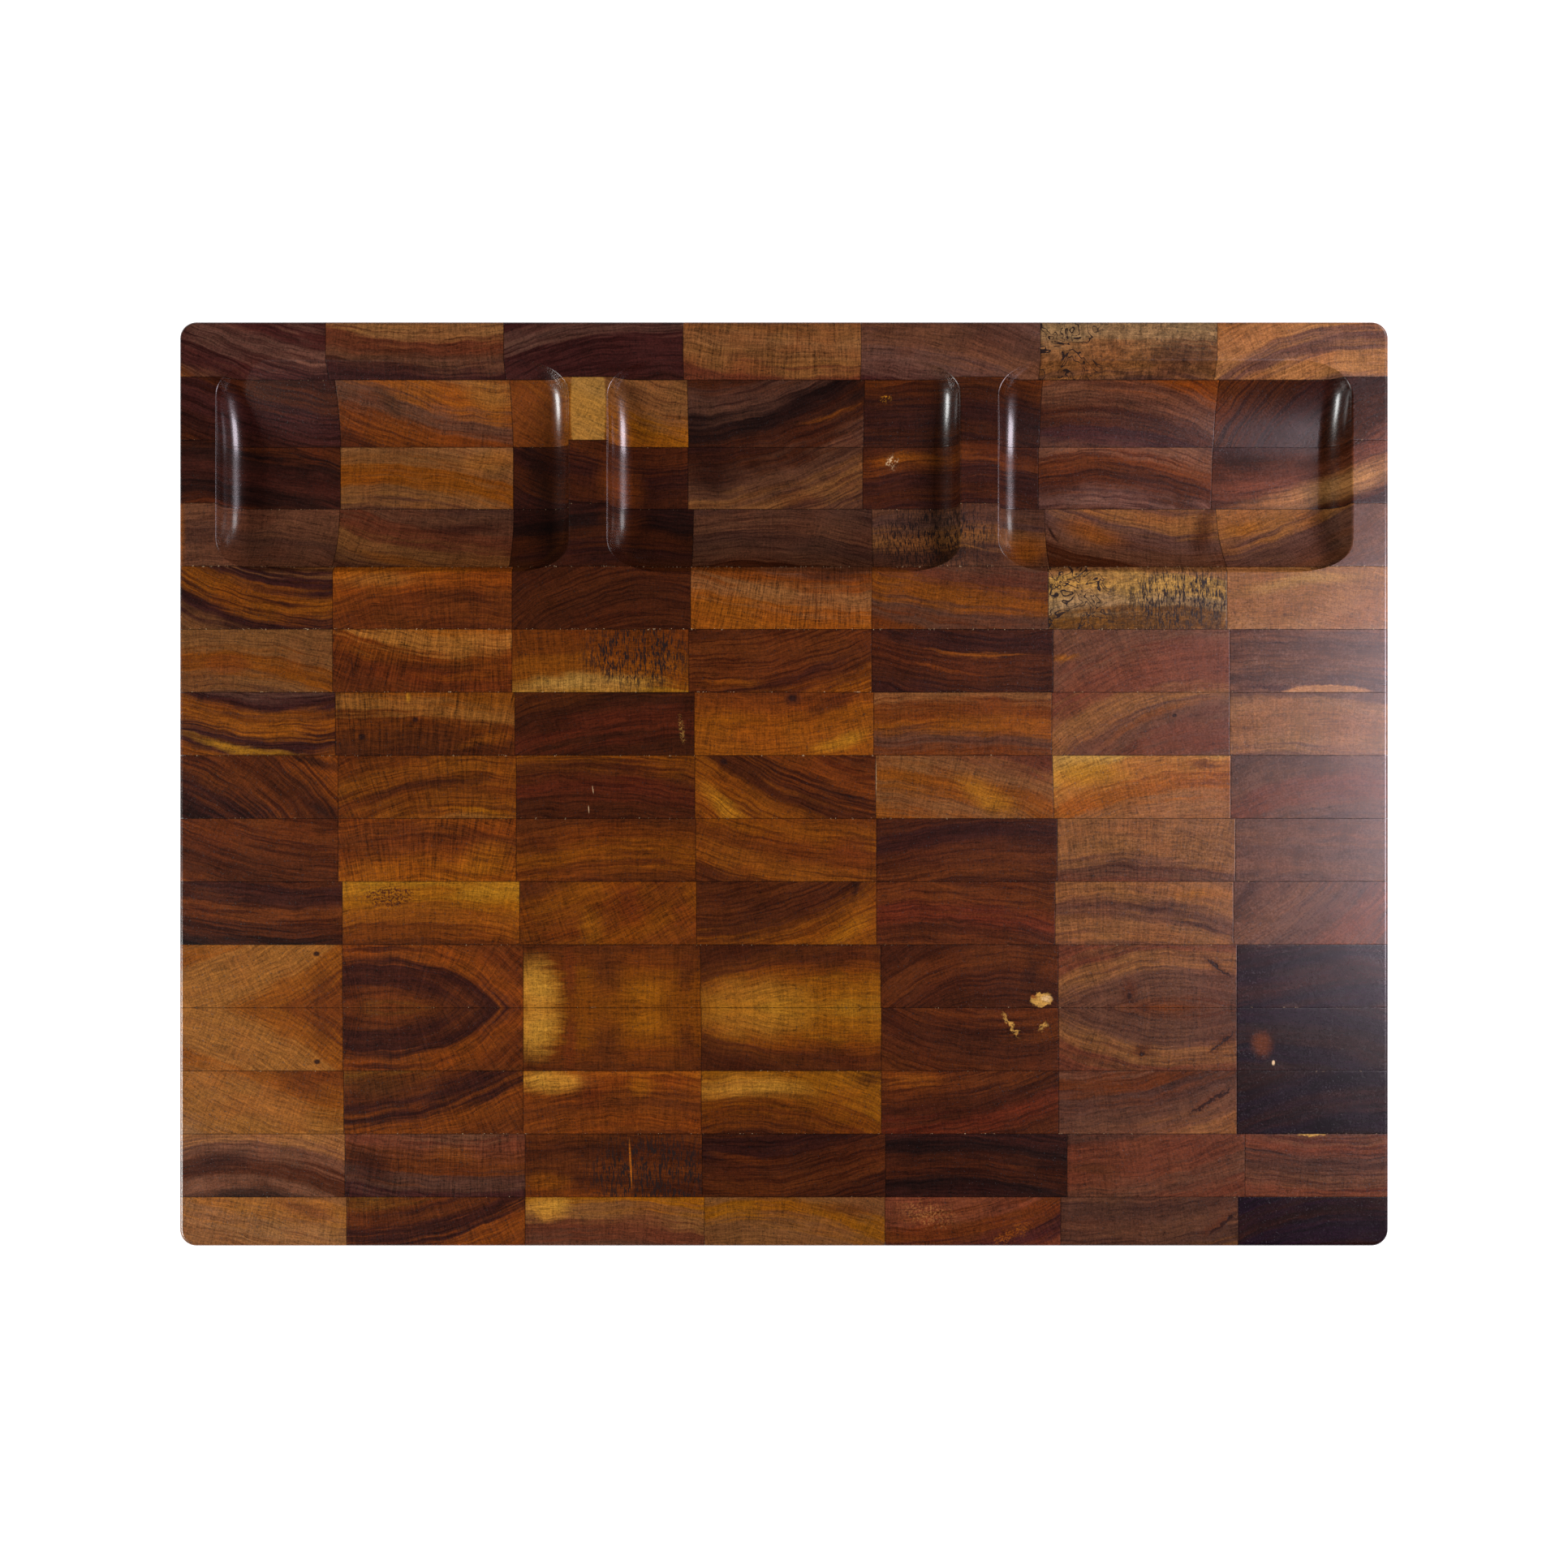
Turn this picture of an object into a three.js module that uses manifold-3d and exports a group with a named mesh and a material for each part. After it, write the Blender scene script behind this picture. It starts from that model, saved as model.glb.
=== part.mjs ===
// An end-grain cutting board: fifteen bars of end-grain blocks glued side by side, three prep
// wells sunk into the back of the work surface, and four rubber feet screwed on underneath.
// The five bars that the wells cut are modelled block by block, and the ten others as whole bars.
//
// Millimetres, +Z up. X runs along the board, and +Y points to the back, where the wells are.
// The origin is the middle of the board, at the level that the feet stand on.

import * as THREE from 'three';
import { mergeVertices } from 'three/addons/utils/BufferGeometryUtils.js';
import Module from 'manifold-3d';

const wasm = await Module();
wasm.setup();

const inch = 25.4;

// Board blank
const boardLength = 17 * inch;
const boardWidth = 13 * inch;
const boardThickness = 1.5 * inch;
const boardCornerRadius = 6;
const boardEdgeRadius = 1.6;

// Bars, counted from the back. The board was trimmed after gluing, so the first and the last
// bar are narrower than the others.
const barCount = 15;
const barPitch = 22.5;
const firstBarWidth = 19.9;
const glueLine = 0.1;

// Blocks, counted from the left. Each bar was glued a little further along than the one behind.
const blocksPerBar = 7;
const blockLength = 63.5;
const firstBlockLength = 52.3;
const blockDrift = 0.54;
const barsInBlocks = 5;

// Prep wells: steep ends with a cove, and a floor that ramps up to the rim, gently at the back
// and more steeply at the front.
const wellCount = 3;
const wellLength = 5 * inch;
const wellWidth = 3 * inch;
const wellDepth = 0.5 * inch;
const wellSpacing = 5.5 * inch;
const wellBackMargin = 13.5;
const wellCornerRadius = 0.5 * inch;
const wellCoveRadius = (5 / 16) * inch;
const wellBackRampReach = 34;
const wellFrontRampReach = 1 * inch;

// Feet
const footHeight = 8;
const footTopRadius = 11;
const footBottomRadius = 9;
const footEdgeRadius = 1.2;
const footTopChamfer = 0.6;
const footPocketRadius = 5.6;
const footPocketDepth = 4.1;
const footHoleRadius = 2.5;
const footSpotX = 185;
const footSpotY = 135;

// Washers
const washerOuterRadius = 5.3;
const washerInnerRadius = 2.3;
const washerThickness = 1;

// Screws
const screwHeadRadius = 4;
const screwHeadHeight = 2.2;
const screwHeadEdge = 0.7;
const screwShankRadius = 2;
const screwRootRadius = 1.5;
const screwLength = 17.5;
const screwTipLength = 2.5;
const threadPitch = 1.8;
const crossSlotLength = 4.4;
const crossSlotWidth = 0.9;
const crossSlotDepth = 1.3;
const pilotRadius = 2.15;
const pilotClearance = 0.6;

// Pieces that touch keep this much air between them.
const fitGap = 0.05;
// Cutters reach this far past the faces that they cut.
const overrun = 4;

const cornerSegments = 6;
const coveSegments = 4;
const rampSegments = 8;
const edgeSegments = 2;
const turnSegments = 20;
const smallTurnSegments = 14;

const boardBottom = footHeight;
const boardTop = boardBottom + boardThickness;
const wellFloor = boardTop - wellDepth;
const wellBackRim = boardWidth / 2 - wellBackMargin;
const wellFrontRim = wellBackRim - wellWidth;

const woodColour = 0x6a3d22;
const rubberColour = 0x1b1b1c;
const steelColour = 0xb9bbbd;

const woodMaterial = () =>
  new THREE.MeshStandardMaterial({ color: woodColour, roughness: 0.45, metalness: 0 });
const rubberMaterial = () =>
  new THREE.MeshStandardMaterial({ color: rubberColour, roughness: 0.85, metalness: 0 });
const steelMaterial = () =>
  new THREE.MeshStandardMaterial({ color: steelColour, roughness: 0.35, metalness: 1 });

// A closed geometry as a solid that can be joined and cut.
function solidOf(geometry) {
  const bare = geometry.clone();
  bare.deleteAttribute('normal');
  bare.deleteAttribute('uv');
  const merged = mergeVertices(bare);
  return new wasm.Manifold(new wasm.Mesh({
    numProp: 3,
    vertProperties: new Float32Array(merged.attributes.position.array),
    triVerts: new Uint32Array(merged.index.array),
  }));
}

function geometryOf(solid) {
  const { vertProperties, triVerts } = solid.getMesh();
  const geometry = new THREE.BufferGeometry();
  geometry.setAttribute('position', new THREE.BufferAttribute(vertProperties, 3));
  geometry.setIndex(new THREE.BufferAttribute(triVerts, 1));
  geometry.computeVertexNormals();
  return geometry;
}

function boxBetween(low, high) {
  const geometry = new THREE.BoxGeometry(high.x - low.x, high.y - low.y, high.z - low.z);
  geometry.translate((low.x + high.x) / 2, (low.y + high.y) / 2, (low.z + high.z) / 2);
  return geometry;
}

function roundedRectangle(length, width, radius) {
  const x = length / 2;
  const y = width / 2;
  const shape = new THREE.Shape();
  shape.moveTo(x, -y + radius);
  shape.absarc(x - radius, y - radius, radius, 0, Math.PI / 2);
  shape.absarc(-x + radius, y - radius, radius, Math.PI / 2, Math.PI);
  shape.absarc(-x + radius, -y + radius, radius, Math.PI, Math.PI * 1.5);
  shape.absarc(x - radius, -y + radius, radius, Math.PI * 1.5, Math.PI * 2);
  return shape;
}

// The profile is a list of [radius, height] points, turned about the Z axis.
function turned(profile, segments) {
  const points = profile.map(([radius, height]) => new THREE.Vector2(radius, height));
  const geometry = new THREE.LatheGeometry(points, segments);
  geometry.rotateX(Math.PI / 2);
  return geometry;
}

// The whole board before the wells are cut, with its corners and edges rounded.
function boardBlank() {
  const geometry = new THREE.ExtrudeGeometry(
    roundedRectangle(boardLength, boardWidth, boardCornerRadius),
    {
      depth: boardThickness - 2 * boardEdgeRadius,
      curveSegments: cornerSegments,
      bevelThickness: boardEdgeRadius,
      bevelSize: boardEdgeRadius,
      bevelOffset: -boardEdgeRadius,
      bevelSegments: edgeSegments,
    },
  );
  geometry.translate(0, 0, boardBottom + boardEdgeRadius);
  return solidOf(geometry);
}

// The well's outline from above, with a cove all round its bottom.
function wellOutlineCutter() {
  const geometry = new THREE.ExtrudeGeometry(
    roundedRectangle(wellLength, wellWidth, wellCornerRadius),
    {
      depth: wellDepth + overrun - wellCoveRadius,
      curveSegments: cornerSegments,
      bevelThickness: wellCoveRadius,
      bevelSize: wellCoveRadius,
      bevelOffset: -wellCoveRadius,
      bevelSegments: coveSegments,
    },
  );
  geometry.translate(0, (wellBackRim + wellFrontRim) / 2, wellFloor + wellCoveRadius);
  return solidOf(geometry);
}

// The well's side view: a flat floor between two ramps, each an arc that meets the floor
// smoothly and reaches the rim. It is drawn as (y, z) and drawn out along X.
function wellFloorCutter() {
  const rampRadius = (reach) => (reach ** 2 + wellDepth ** 2) / (2 * wellDepth);
  const backRadius = rampRadius(wellBackRampReach);
  const frontRadius = rampRadius(wellFrontRampReach);
  const backSweep = Math.asin(wellBackRampReach / backRadius);
  const frontSweep = Math.asin(wellFrontRampReach / frontRadius);
  const down = -Math.PI / 2;

  const shape = new THREE.Shape();
  shape.moveTo(wellFrontRim - overrun, boardTop + overrun);
  shape.lineTo(wellFrontRim, boardTop);
  shape.absarc(
    wellFrontRim + wellFrontRampReach, wellFloor + frontRadius, frontRadius,
    down - frontSweep, down, false,
  );
  shape.absarc(
    wellBackRim - wellBackRampReach, wellFloor + backRadius, backRadius,
    down, down + backSweep, false,
  );
  shape.lineTo(wellBackRim + overrun, boardTop + overrun);
  shape.closePath();

  const geometry = new THREE.ExtrudeGeometry(
    shape, { depth: wellLength + 2 * overrun, curveSegments: rampSegments, bevelEnabled: false },
  );
  geometry.translate(0, 0, -wellLength / 2 - overrun);
  const yzAlongX = new THREE.Matrix4().makeBasis(
    new THREE.Vector3(0, 1, 0), new THREE.Vector3(0, 0, 1), new THREE.Vector3(1, 0, 0),
  );
  geometry.applyMatrix4(yzAlongX);
  return solidOf(geometry);
}

function cutWells(board) {
  const wellGeometry = geometryOf(wellOutlineCutter().intersect(wellFloorCutter()));
  let result = board;
  for (let i = 0; i < wellCount; i += 1) {
    const x = (i - (wellCount - 1) / 2) * wellSpacing;
    result = result.subtract(solidOf(wellGeometry.clone().translate(x, 0, 0)));
  }
  return result;
}

const footSpots = [
  { place: 'back_left', x: -footSpotX, y: footSpotY },
  { place: 'back_right', x: footSpotX, y: footSpotY },
  { place: 'front_left', x: -footSpotX, y: -footSpotY },
  { place: 'front_right', x: footSpotX, y: -footSpotY },
];

const washerTop = footPocketDepth - fitGap;
const screwHeadTop = washerTop - washerThickness - fitGap;
const screwTip = screwHeadTop + screwLength;

function cutPilotHoles(board) {
  const top = screwTip + pilotClearance;
  const height = top - boardBottom + overrun;
  let result = board;
  for (const { x, y } of footSpots) {
    const hole = new THREE.CylinderGeometry(pilotRadius, pilotRadius, height, smallTurnSegments);
    hole.rotateX(Math.PI / 2);
    hole.translate(x, y, top - height / 2);
    result = result.subtract(solidOf(hole));
  }
  return result;
}

// The line between bar i - 1 and bar i, counted from the back edge at 0.
function barLine(i) {
  if (i === 0) {
    return boardWidth / 2;
  }
  if (i === barCount) {
    return -boardWidth / 2;
  }
  return boardWidth / 2 - firstBarWidth - (i - 1) * barPitch;
}

// The line between block k - 1 and block k of bar i, counted from the left end at 0.
function blockLine(i, k) {
  if (k === 0) {
    return -boardLength / 2;
  }
  if (k === blocksPerBar) {
    return boardLength / 2;
  }
  return -boardLength / 2 + firstBlockLength + i * blockDrift + (k - 1) * blockLength;
}

// The space of bar i between two of its block lines. It runs past the board's own edges, and
// stops half a glue line short of a neighbour.
function barSpace(i, firstLine, lastLine) {
  const short = -glueLine / 2;
  const leftSide = firstLine === 0 ? overrun : short;
  const rightSide = lastLine === blocksPerBar ? overrun : short;
  const backSide = i === 0 ? overrun : short;
  const frontSide = i === barCount - 1 ? overrun : short;
  const low = new THREE.Vector3(
    blockLine(i, firstLine) - leftSide, barLine(i + 1) - frontSide, boardBottom - overrun,
  );
  const high = new THREE.Vector3(
    blockLine(i, lastLine) + rightSide, barLine(i) + backSide, boardTop + overrun,
  );
  return solidOf(boxBetween(low, high));
}

function woodPiece(name, solid) {
  const mesh = new THREE.Mesh(geometryOf(solid), woodMaterial());
  mesh.name = name;
  return mesh;
}

function endGrainWood() {
  const board = cutPilotHoles(cutWells(boardBlank()));
  const wood = new THREE.Group();
  for (let i = 0; i < barCount; i += 1) {
    const barNumber = String(i + 1).padStart(2, '0');
    const bar = board.intersect(barSpace(i, 0, blocksPerBar));
    if (i >= barsInBlocks) {
      wood.add(woodPiece(`end_grain_bar_${barNumber}`, bar));
      continue;
    }
    for (let k = 0; k < blocksPerBar; k += 1) {
      const block = bar.intersect(barSpace(i, k, k + 1));
      wood.add(woodPiece(`end_grain_block_${barNumber}_${k + 1}`, block));
    }
  }
  return wood;
}

// A tapered rubber foot, wide end up, with a pocket underneath that hides the washer and the
// head of the screw.
function footGeometry() {
  const profile = [
    [footPocketRadius, 0],
    [footBottomRadius - footEdgeRadius, 0],
    [footBottomRadius - footEdgeRadius * (1 - Math.SQRT1_2), footEdgeRadius * (1 - Math.SQRT1_2)],
    [footBottomRadius, footEdgeRadius],
    [footTopRadius, footHeight - fitGap - footTopChamfer],
    [footTopRadius - footTopChamfer, footHeight - fitGap],
    [footHoleRadius, footHeight - fitGap],
    [footHoleRadius, footPocketDepth],
    [footPocketRadius, footPocketDepth],
    [footPocketRadius, 0],
  ];
  return turned(profile, turnSegments);
}

function washerGeometry() {
  const profile = [
    [washerInnerRadius, washerTop - washerThickness],
    [washerOuterRadius, washerTop - washerThickness],
    [washerOuterRadius, washerTop],
    [washerInnerRadius, washerTop],
    [washerInnerRadius, washerTop - washerThickness],
  ];
  return turned(profile, turnSegments);
}

// A pan-head screw, head down, with a cross slot. The thread is plain rings.
function screwGeometry() {
  const headBottom = screwHeadTop - screwHeadHeight;
  const profile = [
    [0, headBottom],
    [screwHeadRadius - screwHeadEdge, headBottom],
    [screwHeadRadius, headBottom + screwHeadEdge],
    [screwHeadRadius, screwHeadTop],
    [screwShankRadius, screwHeadTop],
    [screwShankRadius, boardBottom],
  ];
  const threadTop = screwTip - screwTipLength;
  for (let z = boardBottom + threadPitch / 2; z + threadPitch / 2 < threadTop; z += threadPitch) {
    profile.push([screwRootRadius, z]);
    profile.push([screwShankRadius, z + threadPitch / 2]);
  }
  profile.push([screwRootRadius, threadTop]);
  profile.push([0, screwTip]);

  const slotAlongX = boxBetween(
    new THREE.Vector3(-crossSlotLength / 2, -crossSlotWidth / 2, headBottom - overrun),
    new THREE.Vector3(crossSlotLength / 2, crossSlotWidth / 2, headBottom + crossSlotDepth),
  );
  const slotAlongY = slotAlongX.clone().rotateZ(Math.PI / 2);
  const blank = solidOf(turned(profile, smallTurnSegments));
  return geometryOf(blank.subtract(solidOf(slotAlongX)).subtract(solidOf(slotAlongY)));
}

// One foot, its washer and its screw, placed together under a corner of the board.
function screwedFoot({ place, x, y }) {
  const assembly = new THREE.Group();
  const pieces = [
    [`rubber_foot_${place}`, footGeometry(), rubberMaterial()],
    [`steel_washer_${place}`, washerGeometry(), steelMaterial()],
    [`foot_screw_${place}`, screwGeometry(), steelMaterial()],
  ];
  for (const [name, geometry, material] of pieces) {
    const mesh = new THREE.Mesh(geometry, material);
    mesh.name = name;
    assembly.add(mesh);
  }
  assembly.position.set(x, y, 0);
  return assembly;
}

const cuttingBoard = new THREE.Group();
cuttingBoard.add(endGrainWood());
for (const spot of footSpots) {
  cuttingBoard.add(screwedFoot(spot));
}

export default cuttingBoard;
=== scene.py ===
"""An end-grain cutting board with three prep wells, standing on four screwed-on rubber feet.

The board is built as one solid with finely shaped wells, and then sawn into its 105 blocks, each
with its own growth rings, tones and flaws. All shapes are built in millimetres and turned into
metres at the end.
"""

import math

import bmesh
import bpy
from mathutils import Matrix, Vector


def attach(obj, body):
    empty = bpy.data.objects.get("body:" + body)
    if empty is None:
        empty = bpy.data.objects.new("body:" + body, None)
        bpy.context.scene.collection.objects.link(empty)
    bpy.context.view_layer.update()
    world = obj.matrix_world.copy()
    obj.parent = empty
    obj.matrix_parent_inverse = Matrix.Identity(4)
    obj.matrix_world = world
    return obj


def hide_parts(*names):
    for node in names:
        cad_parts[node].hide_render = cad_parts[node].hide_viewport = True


MM = 0.001
INCH = 25.4
# Points closer than this, in millimetres, become one, and faces that meet at more than this angle
# keep a crisp edge.
MERGE_DISTANCE = 1e-4
SHARP_DEGREES = 35

# Board, in millimetres
BOARD_LENGTH = 17 * INCH
BOARD_WIDTH = 13 * INCH
BOARD_BOTTOM = 8.0
BOARD_TOP = BOARD_BOTTOM + 1.5 * INCH
CORNER_RADIUS = 6.0
EDGE_RADIUS = 1.6
CORNER_STEPS = 12
EDGE_STEPS = 6

# Glue lines are hairline gaps: half of the gap belongs to each side.
HALF_GLUE_LINE = 0.04
BACK_BAR_WIDTH = 19.9
BAR_PITCH = 22.5
BAR_COUNT = 15
BLOCKS_PER_BAR = 7
BLOCK_LENGTH = 2.5 * INCH
# The wells cut into this many bars. In the CAD model their blocks are separate, and every other
# bar is one solid.
WELL_BARS = 5
# How far the prisms that cut out the border's blocks reach past the board's faces and edges.
PAST_EDGE = 5.0
# Stands for a joint at the board's border: so far off that the material shows none there.
NO_JOINT = 1000.0
# How far to either side of a block's middle its tones spread when its rings lean.
LEAN_REACH = 24.0

# Wells
WELL_CENTRES = (-5.5 * INCH, 0.0, 5.5 * INCH)
WELL_LENGTH = 5 * INCH
WELL_DEPTH = 0.5 * INCH
WELL_BACK_RIM = BOARD_WIDTH / 2 - 13.5
WELL_FRONT_RIM = WELL_BACK_RIM - 3 * INCH
WELL_CORNER = 12.7
COVE_RADIUS = 5 / 16 * INCH
BACK_RAMP_REACH = 34.0
FRONT_RAMP_REACH = 25.4
RIM_FILLET = 0.8
RAMP_FILLET = 1.0
FIRST_SLICE = 0.1
SLICE_STEP = 1.5
SMALLEST_STEP = 0.18
CUTTER_HEADROOM = 4.0
FLARE_STEPS = 5
COVE_STEPS = 12

# Feet, washers and screws
FOOT_SPOTS = {
    "back_left": (-185.0, 135.0),
    "back_right": (185.0, 135.0),
    "front_left": (-185.0, -135.0),
    "front_right": (185.0, -135.0),
}
PILOT_RADIUS = 2.15
PILOT_TOP = 21.1
FOOT_TOP = 7.95
POCKET_TOP = 4.1
WASHER_BOTTOM = 3.05
WASHER_TOP = 4.05
SCREW_HEAD_BOTTOM = 0.8
SCREW_HEAD_TOP = 3.0
SCREW_HEAD_ROUNDING = 1.4
SCREW_NECK_RADIUS = 2.0
SCREW_NECK_TOP = 8.0
THREAD_START = 8.2
SCREW_TIP = 20.5
THREAD_PITCH = 1.8
THREAD_CORE = 1.35
THREAD_HEIGHT = 0.5
TIP_LENGTH = 3.0
TIP_RADIUS = 0.1
ROWS_PER_TURN = 12
ROUND_STEPS = 64

# Wood: tints multiply a block's own tones, and CREAM and CRACK are the filler and the open cracks.
DARK_LINE_TINT = (0.52, 0.42, 0.44)
LIGHT_STREAK_TINT = (1.20, 1.18, 1.08)
REDDISH_TINT = (1.06, 0.88, 0.78)
GOLDEN_TINT = (1.03, 1.04, 0.90)
CREAM = (0.62, 0.44, 0.24)
CRACK = (0.020, 0.010, 0.008)
TONE_COUNT = 5
ZONE_SOFTNESS = 0.9
WOOD_ROUGHNESS = 0.27
BUMP_DISTANCE = 0.0001
# How the growth rings wander: (waves per millimetre, reach in millimetres), coarse to fine.
RING_DRIFTS = ((0.055, 4.0), (0.14, 1.4), (0.5, 0.3))
# How light the oiled wood is next to the tones it is described with.
WOOD_LIGHTNESS = 0.65

# Camera, in metres, and its sensor in millimetres
CAMERA_HEIGHT = 0.611
FRAME_WIDTH_AT_TOP = 0.5592
SENSOR = 36.0

# Studio: the floor's half width in metres, and how bright the surroundings are in reflections
FLOOR_HALF = 3.0
SURROUNDINGS = 0.02

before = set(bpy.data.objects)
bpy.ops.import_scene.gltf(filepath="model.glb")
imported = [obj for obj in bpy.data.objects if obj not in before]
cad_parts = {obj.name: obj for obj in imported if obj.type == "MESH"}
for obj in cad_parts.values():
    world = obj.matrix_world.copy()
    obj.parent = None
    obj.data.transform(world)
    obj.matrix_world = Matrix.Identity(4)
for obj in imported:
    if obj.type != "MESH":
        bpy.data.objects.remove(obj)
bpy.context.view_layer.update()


# ---------------------------------------------------------------- meshes


def mesh_object(name, points, faces):
    """A new object with this mesh, still in millimetres."""
    mesh = bpy.data.meshes.new(name)
    mesh.from_pydata(points, [], faces)
    mesh.update()
    made = bpy.data.objects.new(name, mesh)
    bpy.context.scene.collection.objects.link(made)
    return made


def loft(name, rings, capped=True):
    """A closed mesh through rings of equally many points. With no caps, the last ring joins the first."""
    count = len(rings[0])
    points = [point for ring in rings for point in ring]
    faces = []
    bands = len(rings) - 1 if capped else len(rings)
    for band in range(bands):
        low = band * count
        high = (band + 1) % len(rings) * count
        for i in range(count):
            j = (i + 1) % count
            faces.append((low + i, low + j, high + j, high + i))
    if capped:
        last = (len(rings) - 1) * count
        faces.append(tuple(reversed(range(count))))
        faces.append(tuple(range(last, last + count)))
    made = mesh_object(name, points, faces)
    face_outward(made)
    return made


def face_outward(item):
    mesh = bmesh.new()
    mesh.from_mesh(item.data)
    bmesh.ops.remove_doubles(mesh, verts=mesh.verts, dist=MERGE_DISTANCE)
    bmesh.ops.recalc_face_normals(mesh, faces=mesh.faces)
    if mesh.calc_volume(signed=True) < 0:
        bmesh.ops.reverse_faces(mesh, faces=mesh.faces)
    mesh.to_mesh(item.data)
    mesh.free()


def turned(name, profile, capped=True):
    """The (radius, height) profile turned about the Z axis."""
    rings = []
    for radius, height in profile:
        ring = []
        for step in range(ROUND_STEPS):
            angle = 2 * math.pi * step / ROUND_STEPS
            ring.append((radius * math.cos(angle), radius * math.sin(angle), height))
        rings.append(ring)
    return loft(name, rings, capped)


def rounded_rectangle(length, width, radius, height):
    """Points of the outline, going round anticlockwise."""
    points = []
    for quarter in range(4):
        centre_x = (length / 2 - radius) * (1 if quarter in (0, 3) else -1)
        centre_y = (width / 2 - radius) * (1 if quarter in (0, 1) else -1)
        for step in range(CORNER_STEPS + 1):
            angle = math.pi / 2 * (quarter + step / CORNER_STEPS)
            points.append((
                centre_x + radius * math.cos(angle),
                centre_y + radius * math.sin(angle),
                height,
            ))
    return points


def combined(target, tool, operation):
    """target's mesh becomes target cut by, or kept inside, tool."""
    step = target.modifiers.new("cut", "BOOLEAN")
    step.operation = operation
    step.solver = "MANIFOLD"
    step.object = tool
    apply_modifiers(target)


def apply_modifiers(item):
    shown = item.evaluated_get(bpy.context.evaluated_depsgraph_get())
    old = item.data
    made = bpy.data.meshes.new_from_object(shown)
    item.modifiers.clear()
    item.data = made
    bpy.data.meshes.remove(old)
    made.name = item.name


def discard(item):
    mesh = item.data
    bpy.data.objects.remove(item)
    bpy.data.meshes.remove(mesh)


def finish_surface(item):
    """Smooth shading that keeps flat faces flat, and crisp edges where faces meet at an angle."""
    limit = math.radians(SHARP_DEGREES)
    mesh = bmesh.new()
    mesh.from_mesh(item.data)
    bmesh.ops.remove_doubles(mesh, verts=mesh.verts, dist=MERGE_DISTANCE)
    bmesh.ops.dissolve_degenerate(mesh, edges=mesh.edges, dist=MERGE_DISTANCE)
    for face in mesh.faces:
        face.smooth = True
    for edge in mesh.edges:
        if len(edge.link_faces) == 2:
            edge.smooth = edge.calc_face_angle(0) < limit
    mesh.to_mesh(item.data)
    mesh.free()
    item.data.transform(Matrix.Scale(MM, 4))
    weights = item.modifiers.new("weighted_normals", "WEIGHTED_NORMAL")
    weights.keep_sharp = True
    weights.weight = 50
    apply_modifiers(item)


# ---------------------------------------------------------------- board


def board_blank():
    insets = []
    for step in range(EDGE_STEPS + 1):
        angle = math.pi / 2 * step / EDGE_STEPS
        insets.append((
            EDGE_RADIUS * (1 - math.sin(angle)),
            EDGE_RADIUS * (1 - math.cos(angle)),
        ))
    rings = []
    for inset, rise in insets:
        rings.append(inset_outline(inset, BOARD_BOTTOM + rise))
    for inset, rise in reversed(insets):
        rings.append(inset_outline(inset, BOARD_TOP - rise))
    return loft("board", rings)


def inset_outline(inset, height):
    return rounded_rectangle(
        BOARD_LENGTH - 2 * inset, BOARD_WIDTH - 2 * inset, CORNER_RADIUS - inset, height
    )


def ramp_depth(reach, distance):
    """Depth of a well's floor at this distance in from a rim: a little fillet, then an arc."""
    radius = (reach ** 2 + WELL_DEPTH ** 2) / (2 * WELL_DEPTH)

    def arc(along):
        left = max(0.0, reach - along)
        return WELL_DEPTH - (radius - math.sqrt(radius ** 2 - left ** 2))

    if distance >= RAMP_FILLET:
        return arc(distance - RAMP_FILLET / 2)
    return arc(RAMP_FILLET / 2) * (distance / RAMP_FILLET) ** 2


def corner_inset(distance):
    """How far the end walls curve inwards at this distance in from a rim."""
    left = max(0.0, WELL_CORNER - distance)
    return WELL_CORNER - math.sqrt(WELL_CORNER ** 2 - left ** 2)


def wall_section(floor_depth):
    """(distance in from the wall, depth) from the rim down to the floor, with a cove at the foot."""
    flare = RIM_FILLET
    cove = COVE_RADIUS
    if floor_depth >= cove + flare:
        flare_centre = -flare
        turn = math.pi / 2
    else:
        spread = (cove + flare) ** 2 - (cove + flare - floor_depth) ** 2
        flare_centre = cove - math.sqrt(max(0.0, spread))
        turn = math.acos(max(-1.0, min(1.0, (cove + flare - floor_depth) / (cove + flare))))
    section = []
    for step in range(FLARE_STEPS + 1):
        angle = turn * step / FLARE_STEPS
        section.append((
            flare_centre + flare * math.sin(angle),
            flare - flare * math.cos(angle),
        ))
    for step in range(COVE_STEPS + 1):
        angle = turn * (1 - step / COVE_STEPS)
        section.append((
            cove - cove * math.sin(angle),
            floor_depth - cove + cove * math.cos(angle),
        ))
    return section


def slice_distances(reach):
    """Distances in from a rim at which the well is sliced, close together at the rim."""
    wanted = [FIRST_SLICE, 0.3, 0.5, 0.75, 1.0]
    for step in range(1, CORNER_STEPS + 1):
        angle = math.pi / 2 * step / CORNER_STEPS
        wanted.append(WELL_CORNER * (1 - math.cos(angle)))
    ramp_end = reach + RAMP_FILLET / 2
    steps = math.ceil(ramp_end / SLICE_STEP)
    wanted += [ramp_end * step / steps for step in range(1, steps + 1)]
    kept = []
    for distance in sorted(wanted):
        if not kept or distance - kept[-1] > SMALLEST_STEP:
            kept.append(distance)
    return kept


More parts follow.
